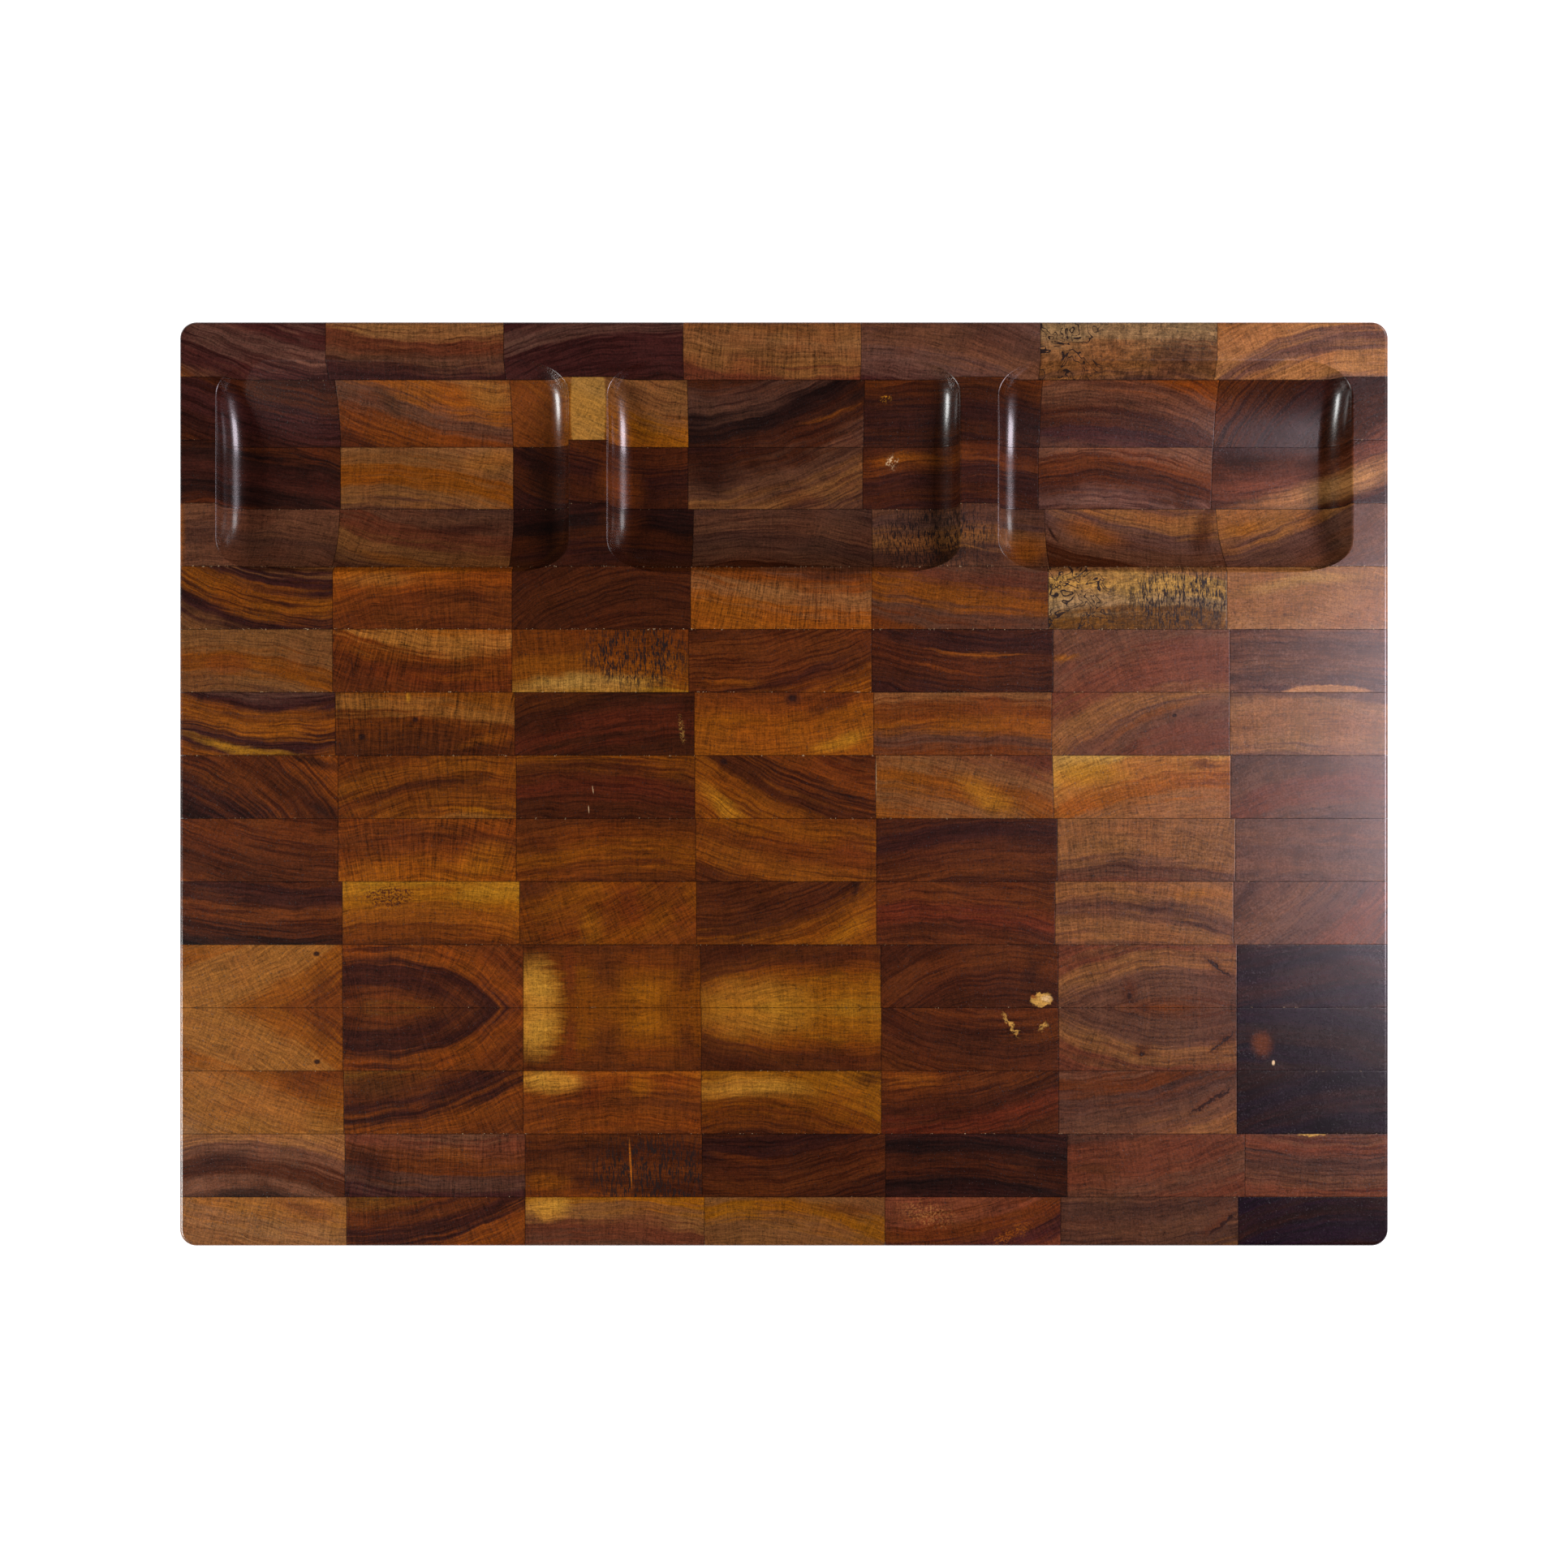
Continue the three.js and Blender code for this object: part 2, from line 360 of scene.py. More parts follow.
def well_cutter(centre):
    slices = []
    for distance in slice_distances(BACK_RAMP_REACH):
        slices.append((WELL_BACK_RIM - distance, distance, ramp_depth(BACK_RAMP_REACH, distance)))
    for distance in reversed(slice_distances(FRONT_RAMP_REACH)):
        slices.append((WELL_FRONT_RIM + distance, distance, ramp_depth(FRONT_RAMP_REACH, distance)))
    rings = []
    for y, distance, depth in slices:
        half = WELL_LENGTH / 2 - RIM_FILLET - corner_inset(distance)
        section = wall_section(depth)
        left = [(centre - half + inward, y, BOARD_TOP - down) for inward, down in section]
        right = [(centre + half - inward, y, BOARD_TOP - down) for inward, down in section]
        rim_left, rim_right = left[0], right[0]
        lid = BOARD_TOP + CUTTER_HEADROOM
        ring = [(rim_left[0], y, lid), *left, *reversed(right), (rim_right[0], y, lid)]
        rings.append(ring)
    return loft("well_cutter", rings)


def whole_board():
    board = board_blank()
    for centre in WELL_CENTRES:
        cutter = well_cutter(centre)
        combined(board, cutter, "DIFFERENCE")
        discard(cutter)
    for x, y in FOOT_SPOTS.values():
        pilot = turned("pilot", [(PILOT_RADIUS, BOARD_BOTTOM - 2), (PILOT_RADIUS, PILOT_TOP)])
        pilot.data.transform(Matrix.Translation((x, y, 0)))
        combined(board, pilot, "DIFFERENCE")
        discard(pilot)
    return board


def bar_joint(index):
    """Y of the joint behind bar number index, which counts from 0 at the back."""
    if index == 0:
        return BOARD_WIDTH / 2
    if index == BAR_COUNT:
        return -BOARD_WIDTH / 2
    return BOARD_WIDTH / 2 - BACK_BAR_WIDTH - (index - 1) * BAR_PITCH


# ---------------------------------------------------------------- materials


class Graph:
    """A material's node tree, with short names for the nodes that the materials here use."""

    def __init__(self, name):
        self.material = bpy.data.materials.new(name)
        self.material.use_nodes = True
        self.nodes = self.material.node_tree.nodes
        self.links = self.material.node_tree.links
        self.shader = self.nodes["Principled BSDF"]

    def feed(self, socket, value):
        if isinstance(value, bpy.types.NodeSocket):
            self.links.new(value, socket)
        else:
            socket.default_value = value

    def math(self, operation, first, second=0.0, third=0.0):
        node = self.nodes.new("ShaderNodeMath")
        node.operation = operation
        for socket, value in zip(node.inputs, (first, second, third)):
            self.feed(socket, value)
        return node.outputs[0]

    def add(self, first, second):
        return self.math("ADD", first, second)

    def subtract(self, first, second):
        return self.math("SUBTRACT", first, second)

    def multiply(self, first, second):
        return self.math("MULTIPLY", first, second)

    def vector(self, operation, first, second=(0.0, 0.0, 0.0)):
        node = self.nodes.new("ShaderNodeVectorMath")
        node.operation = operation
        self.feed(node.inputs[0], first)
        self.feed(node.inputs[1], second)
        return node.outputs["Value" if operation in ("LENGTH", "DISTANCE") else "Vector"]

    def scaled(self, vector, factor):
        node = self.nodes.new("ShaderNodeVectorMath")
        node.operation = "SCALE"
        self.feed(node.inputs[0], vector)
        self.feed(node.inputs["Scale"], factor)
        return node.outputs["Vector"]

    def combined(self, x, y, z):
        node = self.nodes.new("ShaderNodeCombineXYZ")
        for socket, value in zip(node.inputs, (x, y, z)):
            self.feed(socket, value)
        return node.outputs[0]

    def separated(self, vector):
        node = self.nodes.new("ShaderNodeSeparateXYZ")
        self.feed(node.inputs[0], vector)
        return node.outputs["X"], node.outputs["Y"], node.outputs["Z"]

    def property(self, name):
        """Three numbers that each object holds under this name."""
        node = self.nodes.new("ShaderNodeAttribute")
        node.attribute_type = "OBJECT"
        node.attribute_name = name
        return node.outputs["Vector"]

    def properties(self, name):
        return self.separated(self.property(name))

    def noise(self, vector, scale=1.0, detail=2.0, roughness=0.5, distortion=0.0):
        node = self.nodes.new("ShaderNodeTexNoise")
        self.feed(node.inputs["Vector"], vector)
        for name, value in (
            ("Scale", scale), ("Detail", detail), ("Roughness", roughness),
            ("Distortion", distortion),
        ):
            self.feed(node.inputs[name], value)
        return node.outputs[0]

    def ramp(self, value, low, high, to_low=0.0, to_high=1.0):
        """A smooth step from to_low, where value is low, to to_high, where it is high."""
        node = self.nodes.new("ShaderNodeMapRange")
        node.interpolation_type = "SMOOTHSTEP"
        for name, number in (
            ("Value", value), ("From Min", low), ("From Max", high),
            ("To Min", to_low), ("To Max", to_high),
        ):
            self.feed(node.inputs[name], number)
        return node.outputs[0]

    def mix(self, share, first, second):
        node = self.nodes.new("ShaderNodeMix")
        node.data_type = "VECTOR"
        self.feed(node.inputs[0], share)
        self.feed(node.inputs[4], first)
        self.feed(node.inputs[5], second)
        return node.outputs[1]

    def mix_number(self, share, first, second):
        return self.math("MULTIPLY_ADD", share, self.subtract(second, first), first)

    def swayed(self, base, noise, strength):
        """base, moved up and down by a noise that is one half on average."""
        return self.math("MULTIPLY_ADD", self.subtract(noise, 0.5), strength, base)

    def spread(self, spot, seed, x_rate, y_rate, z_rate):
        """A place for noise: a spot, by rates per millimetre, with X shifted by the seed."""
        x, y, z = spot
        return self.combined(
            self.math("MULTIPLY_ADD", x, x_rate, seed),
            self.multiply(y, y_rate),
            self.multiply(z, z_rate),
        )

    def position(self):
        """The place on the object, in millimetres."""
        node = self.nodes.new("ShaderNodeTexCoord")
        return self.scaled(node.outputs["Object"], 1 / MM)

    def bump(self, height, strength, distance):
        node = self.nodes.new("ShaderNodeBump")
        self.feed(node.inputs["Strength"], strength)
        self.feed(node.inputs["Distance"], distance)
        self.feed(node.inputs["Height"], height)
        return node.outputs["Normal"]

    def set(self, **values):
        for name, value in values.items():
            self.feed(self.shader.inputs[name.replace("_", " ")], value)


def wood_material(zone_count, mark_count, spalted=False, ticked=False):
    """Oiled end grain. What differs from block to block comes from each object's own properties."""
    name = f"end_grain_{zone_count}_zones_{mark_count}_marks"
    if spalted:
        name += "_spalted"
    if ticked:
        name += "_ticked"
    g = Graph(name)
    x, y, z = g.separated(g.position())
    centre_x, centre_y, mirror = g.properties("place")
    along = g.subtract(x, centre_x)
    across = g.multiply(g.subtract(y, centre_y), mirror)
    spot = (along, across, z)
    seed, span_share, _ = g.properties("pattern")
    line_share, ray_share, cloud_share = g.properties("figure")
    pith_x, pith_y, ring_radius = g.properties("pith")

    # Distances to the pith, wandering a little, give the growth rings.
    side = g.math("SIGN", ring_radius)
    from_pith_x = g.subtract(along, pith_x)
    from_pith_y = g.subtract(across, pith_y)
    distance = g.vector("LENGTH", g.combined(from_pith_x, from_pith_y, 0.0))
    ring = g.subtract(g.multiply(distance, side), ring_radius)
    for rate, reach in RING_DRIFTS:
        ring = g.swayed(ring, g.noise(g.spread(spot, seed, rate, rate, rate * 0.15), 1.0, 1.0), reach)
    angle = g.math("ARCTAN2", g.multiply(from_pith_x, side), g.multiply(from_pith_y, side))
    turn = g.multiply(angle, g.math("ABSOLUTE", ring_radius))

    # Streaks drawn out along the rings, coarse to fine, and rays that run across them.
    broad = streak_noise(g, turn, ring, z, seed, 0.018, 0.34)
    stripe = streak_noise(g, turn, ring, z, seed, 0.035, 0.95)
    fine = streak_noise(g, turn, ring, z, seed, 0.16, 2.3, 3.0, 0.7)
    ray = g.noise(g.combined(g.multiply(turn, 1.5), g.multiply(ring, 0.09), seed), 1.0, 2.0, 0.8)

    # Bands of tone from the back of the block to its front, mingled by the streaks.
    place = g.subtract(0.5, g.multiply(ring, span_share))
    place = g.swayed(place, broad, 0.45)
    place = g.swayed(place, stripe, 0.3)
    cloud = g.noise(g.spread(spot, seed, 0.07, 0.09, 0.01), 1.0, 3.0, 0.55)
    place = g.swayed(place, cloud, 0.25)
    colour = g.property("tone_1")
    for step in range(1, TONE_COUNT):
        low = (step - 1) / (TONE_COUNT - 1)
        high = step / (TONE_COUNT - 1)
        colour = g.mix(g.ramp(place, low, high), colour, g.property(f"tone_{step + 1}"))
    for zone_number in range(1, zone_count + 1):
        colour = tone_zone(g, colour, zone_number, turn, ring, z, seed)

    # Soft dark growth lines, with lighter wood between them.
    dark_lines = g.multiply(g.ramp(stripe, 0.50, 0.62), line_share)
    colour = g.mix(dark_lines, colour, g.vector("MULTIPLY", colour, DARK_LINE_TINT))
    light_lines = g.multiply(g.ramp(stripe, 0.46, 0.34), line_share)
    colour = g.mix(light_lines, colour, g.vector("MULTIPLY", colour, LIGHT_STREAK_TINT))
    shade = g.swayed(WOOD_LIGHTNESS, fine, 1.3)
    ray_strength = g.math("MULTIPLY_ADD", ray_share, 1.4, 0.3)
    shade = g.swayed(shade, ray, ray_strength)

    # Clouds of redder and more golden wood, and light and dark patches.
    hue = g.noise(g.spread(spot, g.multiply(seed, 2.1), 0.06, 0.11, 0.01))
    colour = g.mix(g.multiply(g.ramp(hue, 0.42, 0.68), cloud_share), colour,
                   g.vector("MULTIPLY", colour, REDDISH_TINT))
    colour = g.mix(g.multiply(g.ramp(hue, 0.52, 0.3), cloud_share), colour,
                   g.vector("MULTIPLY", colour, GOLDEN_TINT))
    shade = g.math("MULTIPLY_ADD", g.multiply(g.subtract(cloud, 0.5), cloud_share), 0.8, shade)

    # Cells and pores: specks in the end grain, drawn out along the grain on the sides.
    grain_place = g.combined(g.add(along, seed), across, g.multiply(z, 0.05))
    grain = g.noise(grain_place, 1.5, 3.0, 0.9)
    shade = g.swayed(shade, grain, 1.5)
    pores = g.ramp(g.noise(grain_place, 1.6, 1.0, 0.8), 0.66, 0.74)
    shade = g.math("MULTIPLY_ADD", pores, -0.35, shade)
    shade = g.math("MAXIMUM", shade, 0.15)
    colour = g.scaled(colour, shade)

    if spalted:
        colour = spalt_lines(g, colour, spot, seed)
    if ticked:
        colour = pore_ticks(g, colour, spot, seed)
    for mark_number in range(1, mark_count + 1):
        colour = painted_mark(g, colour, mark_number, spot, seed, shade)
    colour, gap = glue_lines(g, colour, x, y, z)
    g.set(Base_Color=colour)

    roughness = g.swayed(WOOD_ROUGHNESS, cloud, 0.08)
    roughness = g.math("MULTIPLY_ADD", pores, 0.16, roughness)
    roughness = g.swayed(roughness, grain, 0.12)
    g.set(Roughness=roughness)
    height = g.math("MULTIPLY_ADD", pores, -0.5, grain)
    height = g.math("MULTIPLY_ADD", dark_lines, -0.12, height)
    height = g.math("MULTIPLY_ADD", gap, -0.6, height)
    g.set(Normal=g.bump(height, 0.3, BUMP_DISTANCE))
    g.set(Specular_IOR_Level=0.5, Coat_Weight=0.35, Coat_Roughness=0.15)
    return g.material


def streak_noise(g, turn, ring, z, seed, along_rate, across_rate, detail=1.5, roughness=0.55):
    """Noise drawn out along the rings, with its rates given per millimetre."""
    place = g.combined(g.multiply(turn, along_rate), g.math("MULTIPLY_ADD", ring, across_rate, seed),
                       g.math("MULTIPLY_ADD", z, 0.01, g.multiply(seed, 1.7)))
    return g.noise(place, 1.0, detail, roughness)


def tone_zone(g, colour, number, turn, ring, z, seed):
    """A broad patch of another tone, drawn out along the rings with a streaky edge."""
    centre_turn, centre_ring, slope = g.properties(f"zone_{number}_place")
    half_length, half_width, ragged = g.properties(f"zone_{number}_size")
    weight, softness, _ = g.properties(f"zone_{number}_edge")
    offset_x = g.subtract(turn, centre_turn)
    offset_y = g.subtract(ring, centre_ring)
    offset_y = g.subtract(offset_y, g.multiply(offset_x, g.math("TANGENT", slope)))
    rough = g.noise(g.spread((turn, ring, z), seed, 0.12, 0.7, 0.02), 1.0, 2.0, 0.6)
    push = g.multiply(g.subtract(rough, 0.5), ragged)
    offset_y = g.add(offset_y, push)
    offset_x = g.math("MULTIPLY_ADD", push, 2.0, offset_x)
    reach = g.vector("LENGTH", g.combined(g.math("DIVIDE", offset_x, half_length),
                                          g.math("DIVIDE", offset_y, half_width), 0.0))
    share = g.multiply(g.ramp(reach, 1.25, g.subtract(1.1, softness)), weight)
    return g.mix(share, colour, g.property(f"zone_{number}_tone"))


def spalt_lines(g, colour, spot, seed):
    """Mottled pale wood with thin black winding zone lines, strongest at the block's left end."""
    place = g.spread(spot, seed, 0.14, 0.14, 0.03)
    mottle = g.noise(place, 2.2, 3.0, 0.7)
    colour = g.scaled(colour, g.ramp(mottle, 0.30, 0.70, 0.6, 1.35))
    field = g.noise(place, 1.0, 2.0, 0.6, 0.8)
    near_line = g.math("ABSOLUTE", g.subtract(field, 0.5))
    near_loop = g.math("ABSOLUTE", g.subtract(field, 0.62))
    line = g.ramp(g.math("MINIMUM", near_line, near_loop), 0.020, 0.008)
    line = g.multiply(line, g.ramp(spot[0], -4.0, -14.0, 0.15, 1.0))
    spots = g.multiply(g.ramp(g.noise(place, 5.0, 2.0, 0.6), 0.60, 0.70), 0.5)
    return g.mix(g.math("MAXIMUM", line, spots), colour, CRACK)


def pore_ticks(g, colour, spot, seed):
    """Short black open pores, drawn out from the back of the block to its front."""
    along, across, _ = spot
    place = g.spread(spot, seed, 1.7, 0.30, 0.03)
    ticks = g.ramp(g.noise(place, 1.0, 2.0, 0.8), 0.49, 0.58)
    where_x, where_y, reach = g.properties("ticks")
    away = g.vector("LENGTH", g.combined(g.subtract(along, where_x),
                                         g.multiply(g.subtract(across, where_y), 1.6), 0.0))
    ticks = g.multiply(ticks, g.ramp(g.math("DIVIDE", away, reach), 1.15, 0.5))
    return g.mix(ticks, colour, CRACK)


def painted_mark(g, colour, number, spot, seed, shade):
    """A local flaw, and in a few places a band of painted light and shade: an ellipse in a tone of its
    own, broken into flecks if it is very ragged.
    """
    along, across, z = spot
    mark_x, mark_y, turn = g.properties(f"mark_{number}_place")
    half_length, half_width, ragged = g.properties(f"mark_{number}_size")
    weight, softness, _ = g.properties(f"mark_{number}_edge")
    offset_x = g.subtract(along, mark_x)
    offset_y = g.subtract(across, mark_y)
    cosine = g.math("COSINE", turn)
    sine = g.math("SINE", turn)
    lengthways = g.add(g.multiply(offset_x, cosine), g.multiply(offset_y, sine))
    crossways = g.subtract(g.multiply(offset_y, cosine), g.multiply(offset_x, sine))
    rough = g.noise(g.spread(spot, seed, 0.45, 0.45, 0.02), 1.0, 3.0, 0.65)
    crossways = g.swayed(crossways, rough, ragged)
    reach = g.vector("LENGTH", g.combined(g.math("DIVIDE", lengthways, half_length),
                                          g.math("DIVIDE", crossways, half_width), 0.0))
    share = g.multiply(g.ramp(reach, 1.0, g.subtract(1.0, softness)), weight)
    fleck = g.noise(g.combined(along, across, g.multiply(z, 0.05)), 1.3, 2.0, 0.7)
    breaking = g.ramp(ragged, 6.0, 9.0)
    share = g.mix_number(breaking, share, g.multiply(share, g.ramp(fleck, 0.47, 0.56)))
    texture = g.math("MULTIPLY_ADD", shade, 0.9 / WOOD_LIGHTNESS, g.multiply(fleck, 0.2))
    tone = g.scaled(g.property(f"mark_{number}_tone"), texture)
    return g.mix(share, colour, tone)


def glue_lines(g, colour, x, y, z):
    """Darker wood right beside a joint, with specks of pale filler along some bars."""
    back_y, front_y, filler = g.properties("bar_joints")
    left_x, left_slope, _ = g.properties("left_joint")
    right_x, right_slope, centre_y = g.properties("right_joint")
    lean_y = g.subtract(y, centre_y)
    to_left = g.subtract(x, g.math("MULTIPLY_ADD", lean_y, left_slope, left_x))
    to_right = g.subtract(g.math("MULTIPLY_ADD", lean_y, right_slope, right_x), x)
    to_back = g.subtract(back_y, y)
    to_front = g.subtract(y, front_y)
    to_bar = g.math("MINIMUM", to_back, to_front)
    to_end = g.math("MINIMUM", to_left, to_right)
    patchy = g.noise(g.combined(x, y, g.multiply(z, 0.3)), 0.35, 3.0, 0.6)
    ragged = g.swayed(0.34, patchy, 0.5)
    gap = g.math("MAXIMUM", g.ramp(to_bar, ragged, 0.04), g.ramp(to_end, ragged, 0.04))
    colour = g.mix(g.multiply(gap, 0.55), colour, g.scaled(colour, 0.25))
    speck = g.noise(g.combined(x, g.multiply(y, 0.6), g.multiply(z, 0.6)), 1.1, 3.0, 0.8)
    speck_share = g.multiply(g.ramp(g.math("MULTIPLY_ADD", filler, 0.12, speck), 0.675, 0.735),
                             g.ramp(to_bar, 0.34, 0.18))
    return g.mix(speck_share, colour, CREAM), gap


def rubber_material():
    g = Graph("moulded_rubber")
    place = g.position()
    dust = g.noise(place, 0.9, 4.0, 0.6)
    skin = g.noise(place, 5.0, 3.0, 0.6)
    g.set(Base_Color=g.mix(g.ramp(dust, 0.45, 0.75), (0.018, 0.018, 0.019), (0.045, 0.044, 0.043)))
    g.set(Roughness=g.ramp(dust, 0.3, 0.7, 0.62, 0.78))
    g.set(Normal=g.bump(skin, 0.3, BUMP_DISTANCE))
    return g.material


def steel_material():
    g = Graph("turned_steel")
    place = g.position()
    x, y, z = g.separated(place)
    turned_marks = g.noise(g.combined(g.multiply(x, 0.4), g.multiply(y, 0.4), g.multiply(z, 9.0)))
    stains = g.noise(place, 0.8, 3.0, 0.6)
    g.set(Base_Color=g.mix(g.ramp(stains, 0.4, 0.75), (0.60, 0.60, 0.61), (0.42, 0.41, 0.40)))
    g.set(Metallic=1.0)
    g.set(Roughness=g.ramp(turned_marks, 0.3, 0.7, 0.24, 0.40))
    g.set(Normal=g.bump(turned_marks, 0.2, BUMP_DISTANCE / 2))
    return g.material


# ---------------------------------------------------------------- blocks

# Wood tones, as sRGB
TONES = {
    "coal": "#2a0f26",
    "ink": "#29120c",
    "plum": "#3f1b12",
    "grape": "#47201c",
    "umber": "#4f230c",
    "cocoa": "#5c2a0e",
    "walnut": "#6b330e",
    "russet": "#78350e",
    "mahogany": "#6c2c12",
    "chestnut": "#87420c",
    "amber": "#9d5408",
    "copper": "#a4590f",
    "honey": "#b36b0a",
    "gold": "#c8871c",
    "straw": "#cc9a48",
    "tan": "#9c6433",
    "fawn": "#a8713f",
    "taupe": "#73472f",
    "mushroom": "#5e3a2a",
    "rose": "#7a3f25",
    "olive": "#4d2f12",
    "moss": "#7f4f13",
    "peach": "#c98c52",
    "sun": "#e3a238",
    "apricot": "#b5722c",
    "sand": "#b08c5c",
    "ash": "#6a4638",
    "cream": "#d9b98a",
}


def linear_tone(name):
    digits = TONES[name].lstrip("#")
    channels = [int(digits[i:i + 2], 16) / 255 for i in (0, 2, 4)]
    return [
        channel / 12.92 if channel <= 0.04045 else ((channel + 0.055) / 1.055) ** 2.4
        for channel in channels
    ]


def wood(tones, lean=0, bow=160, lines=0.6, rays=0.25, clouds=0.5, light=1.0, marks=(),
         spalted=False, ticks=None, mirror=False):
    """How one block looks.

    tones run from the block's back edge to its front edge, and light makes them all lighter or
    darker. lean is the slope of the growth rings in degrees, rising to the right, and bow their
    radius in millimetres: positive for arches, negative for hollows. lines, rays and clouds say
    how strong each of these is, from 0 to 1. marks holds what mark and zone give. ticks is where
    black open pores show, as (x, y, reach), and mirror turns the block's back to the front.
    """
    return {
        "tones": tones.split(), "light": light, "lean": lean, "bow": bow, "lines": lines, "rays": rays,
        "clouds": clouds, "spalted": spalted, "ticks": ticks, "mirror": mirror,
        "marks": [flaw[1:] for flaw in marks if flaw[0] == "mark"],
        "zones": [patch[1:] for patch in marks if patch[0] == "zone"],
    }


def mark(tone, x, y, length, width, turn=0, weight=0.8, ragged=1.5, soft=0.8):
    """A flaw x, y from the block's middle, in millimetres, with its half length and half width. A few
    marks are bands of painted light and shade instead of flaws.

    It is turned by turn degrees. weight is how much of its tone shows, ragged how uneven its
    edge is, and soft how wide the edge is, from 0 to 1.
    """
    return ("mark", tone, x, y, length, width, turn, weight, ragged, soft)


def zone(tone, x, y, length, width, turn=0, weight=0.8, ragged=3.0):
    """Like mark, for a broad patch of tone that follows the growth rings."""
    return ("zone", tone, x, y, length, width, turn, weight, ragged, ZONE_SOFTNESS)


def knot(x, y, size=1.6):
    return mark("ink", x, y, size, size * 0.8, 0, 0.95, 0.8, 0.6)


def mirrored(look):
    """The next block along the same stick, turned over like the facing page of a book."""
    return {**look, "mirror": not look["mirror"]}


# Joints between the blocks of each bar, in millimetres from the board's middle.
BLOCK_JOINTS = (
    (-163.5, -100.0, -36.0, 27.5, 91.5, 154.5),
    (-161.5, -98.7, -34.8, 29.0, 93.0, 156.5),
    (-161.7, -98.7, -35.0, 28.7, 92.7, 156.0),
    (-162.0, -98.5, -33.0, 32.0, 95.0, 158.0),
    (-161.0, -97.0, -33.3, 31.3, 94.3, 158.0),
    (-161.0, -97.0, -34.0, 31.3, 96.0, 159.0),
    (-160.0, -96.0, -32.0, 32.0, 95.5, 159.0),
    (-159.0, -95.5, -31.8, 32.7, 96.0, 159.3),
    (-159.0, -95.5, -31.5, 33.0, 97.5, 161.0),
    (-157.5, -94.3, -31.2, 33.0, 96.7, 160.3),
    (-157.5, -93.0, -29.8, 34.5, 97.8, 161.5),
    (-157.3, -93.0, -29.5, 34.7, 98.0, 161.5),
    (-157.0, -93.0, -29.5, 34.7, 98.0, 161.5),
    (-156.6, -92.3, -29.2, 36.2, 101.0, 164.4),
    (-156.0, -92.3, -28.4, 36.0, 98.7, 162.0),
)
# How far the front end of a slanted joint lies to the right of its back end.
JOINT_SLANTS = {(4, 6): 1.3, (8, 5): 0.6, (3, 6): -0.6}
# How much pale filler shows along the joint in front of each bar.
FILLER = (0.0, 0.0, 0.0, 0.55, 0.65, 0.5, 0.15, 0.5, 0.1, 0.1, 0.35, 0.0, 0.35, 0.1, 0.0)


def eye_block(**changes):
    """Brown heart with a dark curve round it, and rayed orange wood outside the curve."""
    look = dict(lean=-20, bow=58, lines=0.5, rays=0.6, clouds=0.5, light=1.08)
    look.update(changes)
    return wood("walnut chestnut plum walnut moss", **look)


# Bar 12 repeats some of these blocks turned over, so this bar has a name of its own.
ELEVENTH_BAR = (
    wood("copper apricot apricot copper chestnut", lean=26, bow=-150, lines=0.35, rays=0.4, clouds=0.3,
         marks=[knot(22.5, 8), zone("walnut", 24, -4, 6, 6, 0, 0.5)]),
    eye_block(light=1.25),
    wood("walnut chestnut amber amber amber", bow=400, lines=0.2, rays=0.35, light=0.8,
         marks=[zone("sun", -27, -5, 9.5, 12, 0, 0.85, 5), zone("russet", -15, 1, 3, 14),
                zone("walnut", -2, 3, 7, 12, 0, 0.85), zone("walnut", 27, 3, 4, 10),
                zone("honey", 12, -6, 9, 6, 0, 0.5)]),
    wood("cocoa walnut amber honey gold", lean=6, bow=200, lines=0.35, rays=0.3, clouds=0.7, light=0.8,
         marks=[zone("cocoa", 14, 6, 14, 5, 5, 0.6), zone("sun", -14, -7, 24, 8, 0, 0.3, 5)]),
    wood("umber walnut cocoa umber walnut", lean=12, bow=60, lines=0.7, rays=0.15, light=0.95,
         marks=[mark("ink", 22, 1.5, 7, 3.5, 60, 0.6, 6.0),
                mark("straw", 25.6, -8.4, 4.4, 2.8, 6, 0.95, 4.5, 0.25),
                mark("cream", 27.6, -8.0, 1.6, 2.0, 80, 0.6, 6.8, 0.6),
                mark("russet", 22.9, -7.4, 1.6, 1.3, 0, 0.8, 5.0, 0.6)]),
    wood("rose tan taupe taupe chestnut", lean=8, bow=90, rays=0.35, light=0.95,
         marks=[mark("umber", -6.4, -5, 4.5, 7, 0, 0.75, 6.0, 0.9),
                mark("ink", -6.4, -7, 1.2, 1.6, 0, 0.9, 2.0, 0.6),
                mark("umber", 25, 3, 9, 2.2, -40, 0.6, 4.0),
                mark("ink", 25.2, 2.9, 7.2, 0.55, -36, 0.95, 4.0, 0.4)]),
    wood("grape coal grape coal grape", lean=6, bow=200, lines=0.9, rays=0.1, light=0.72),
)

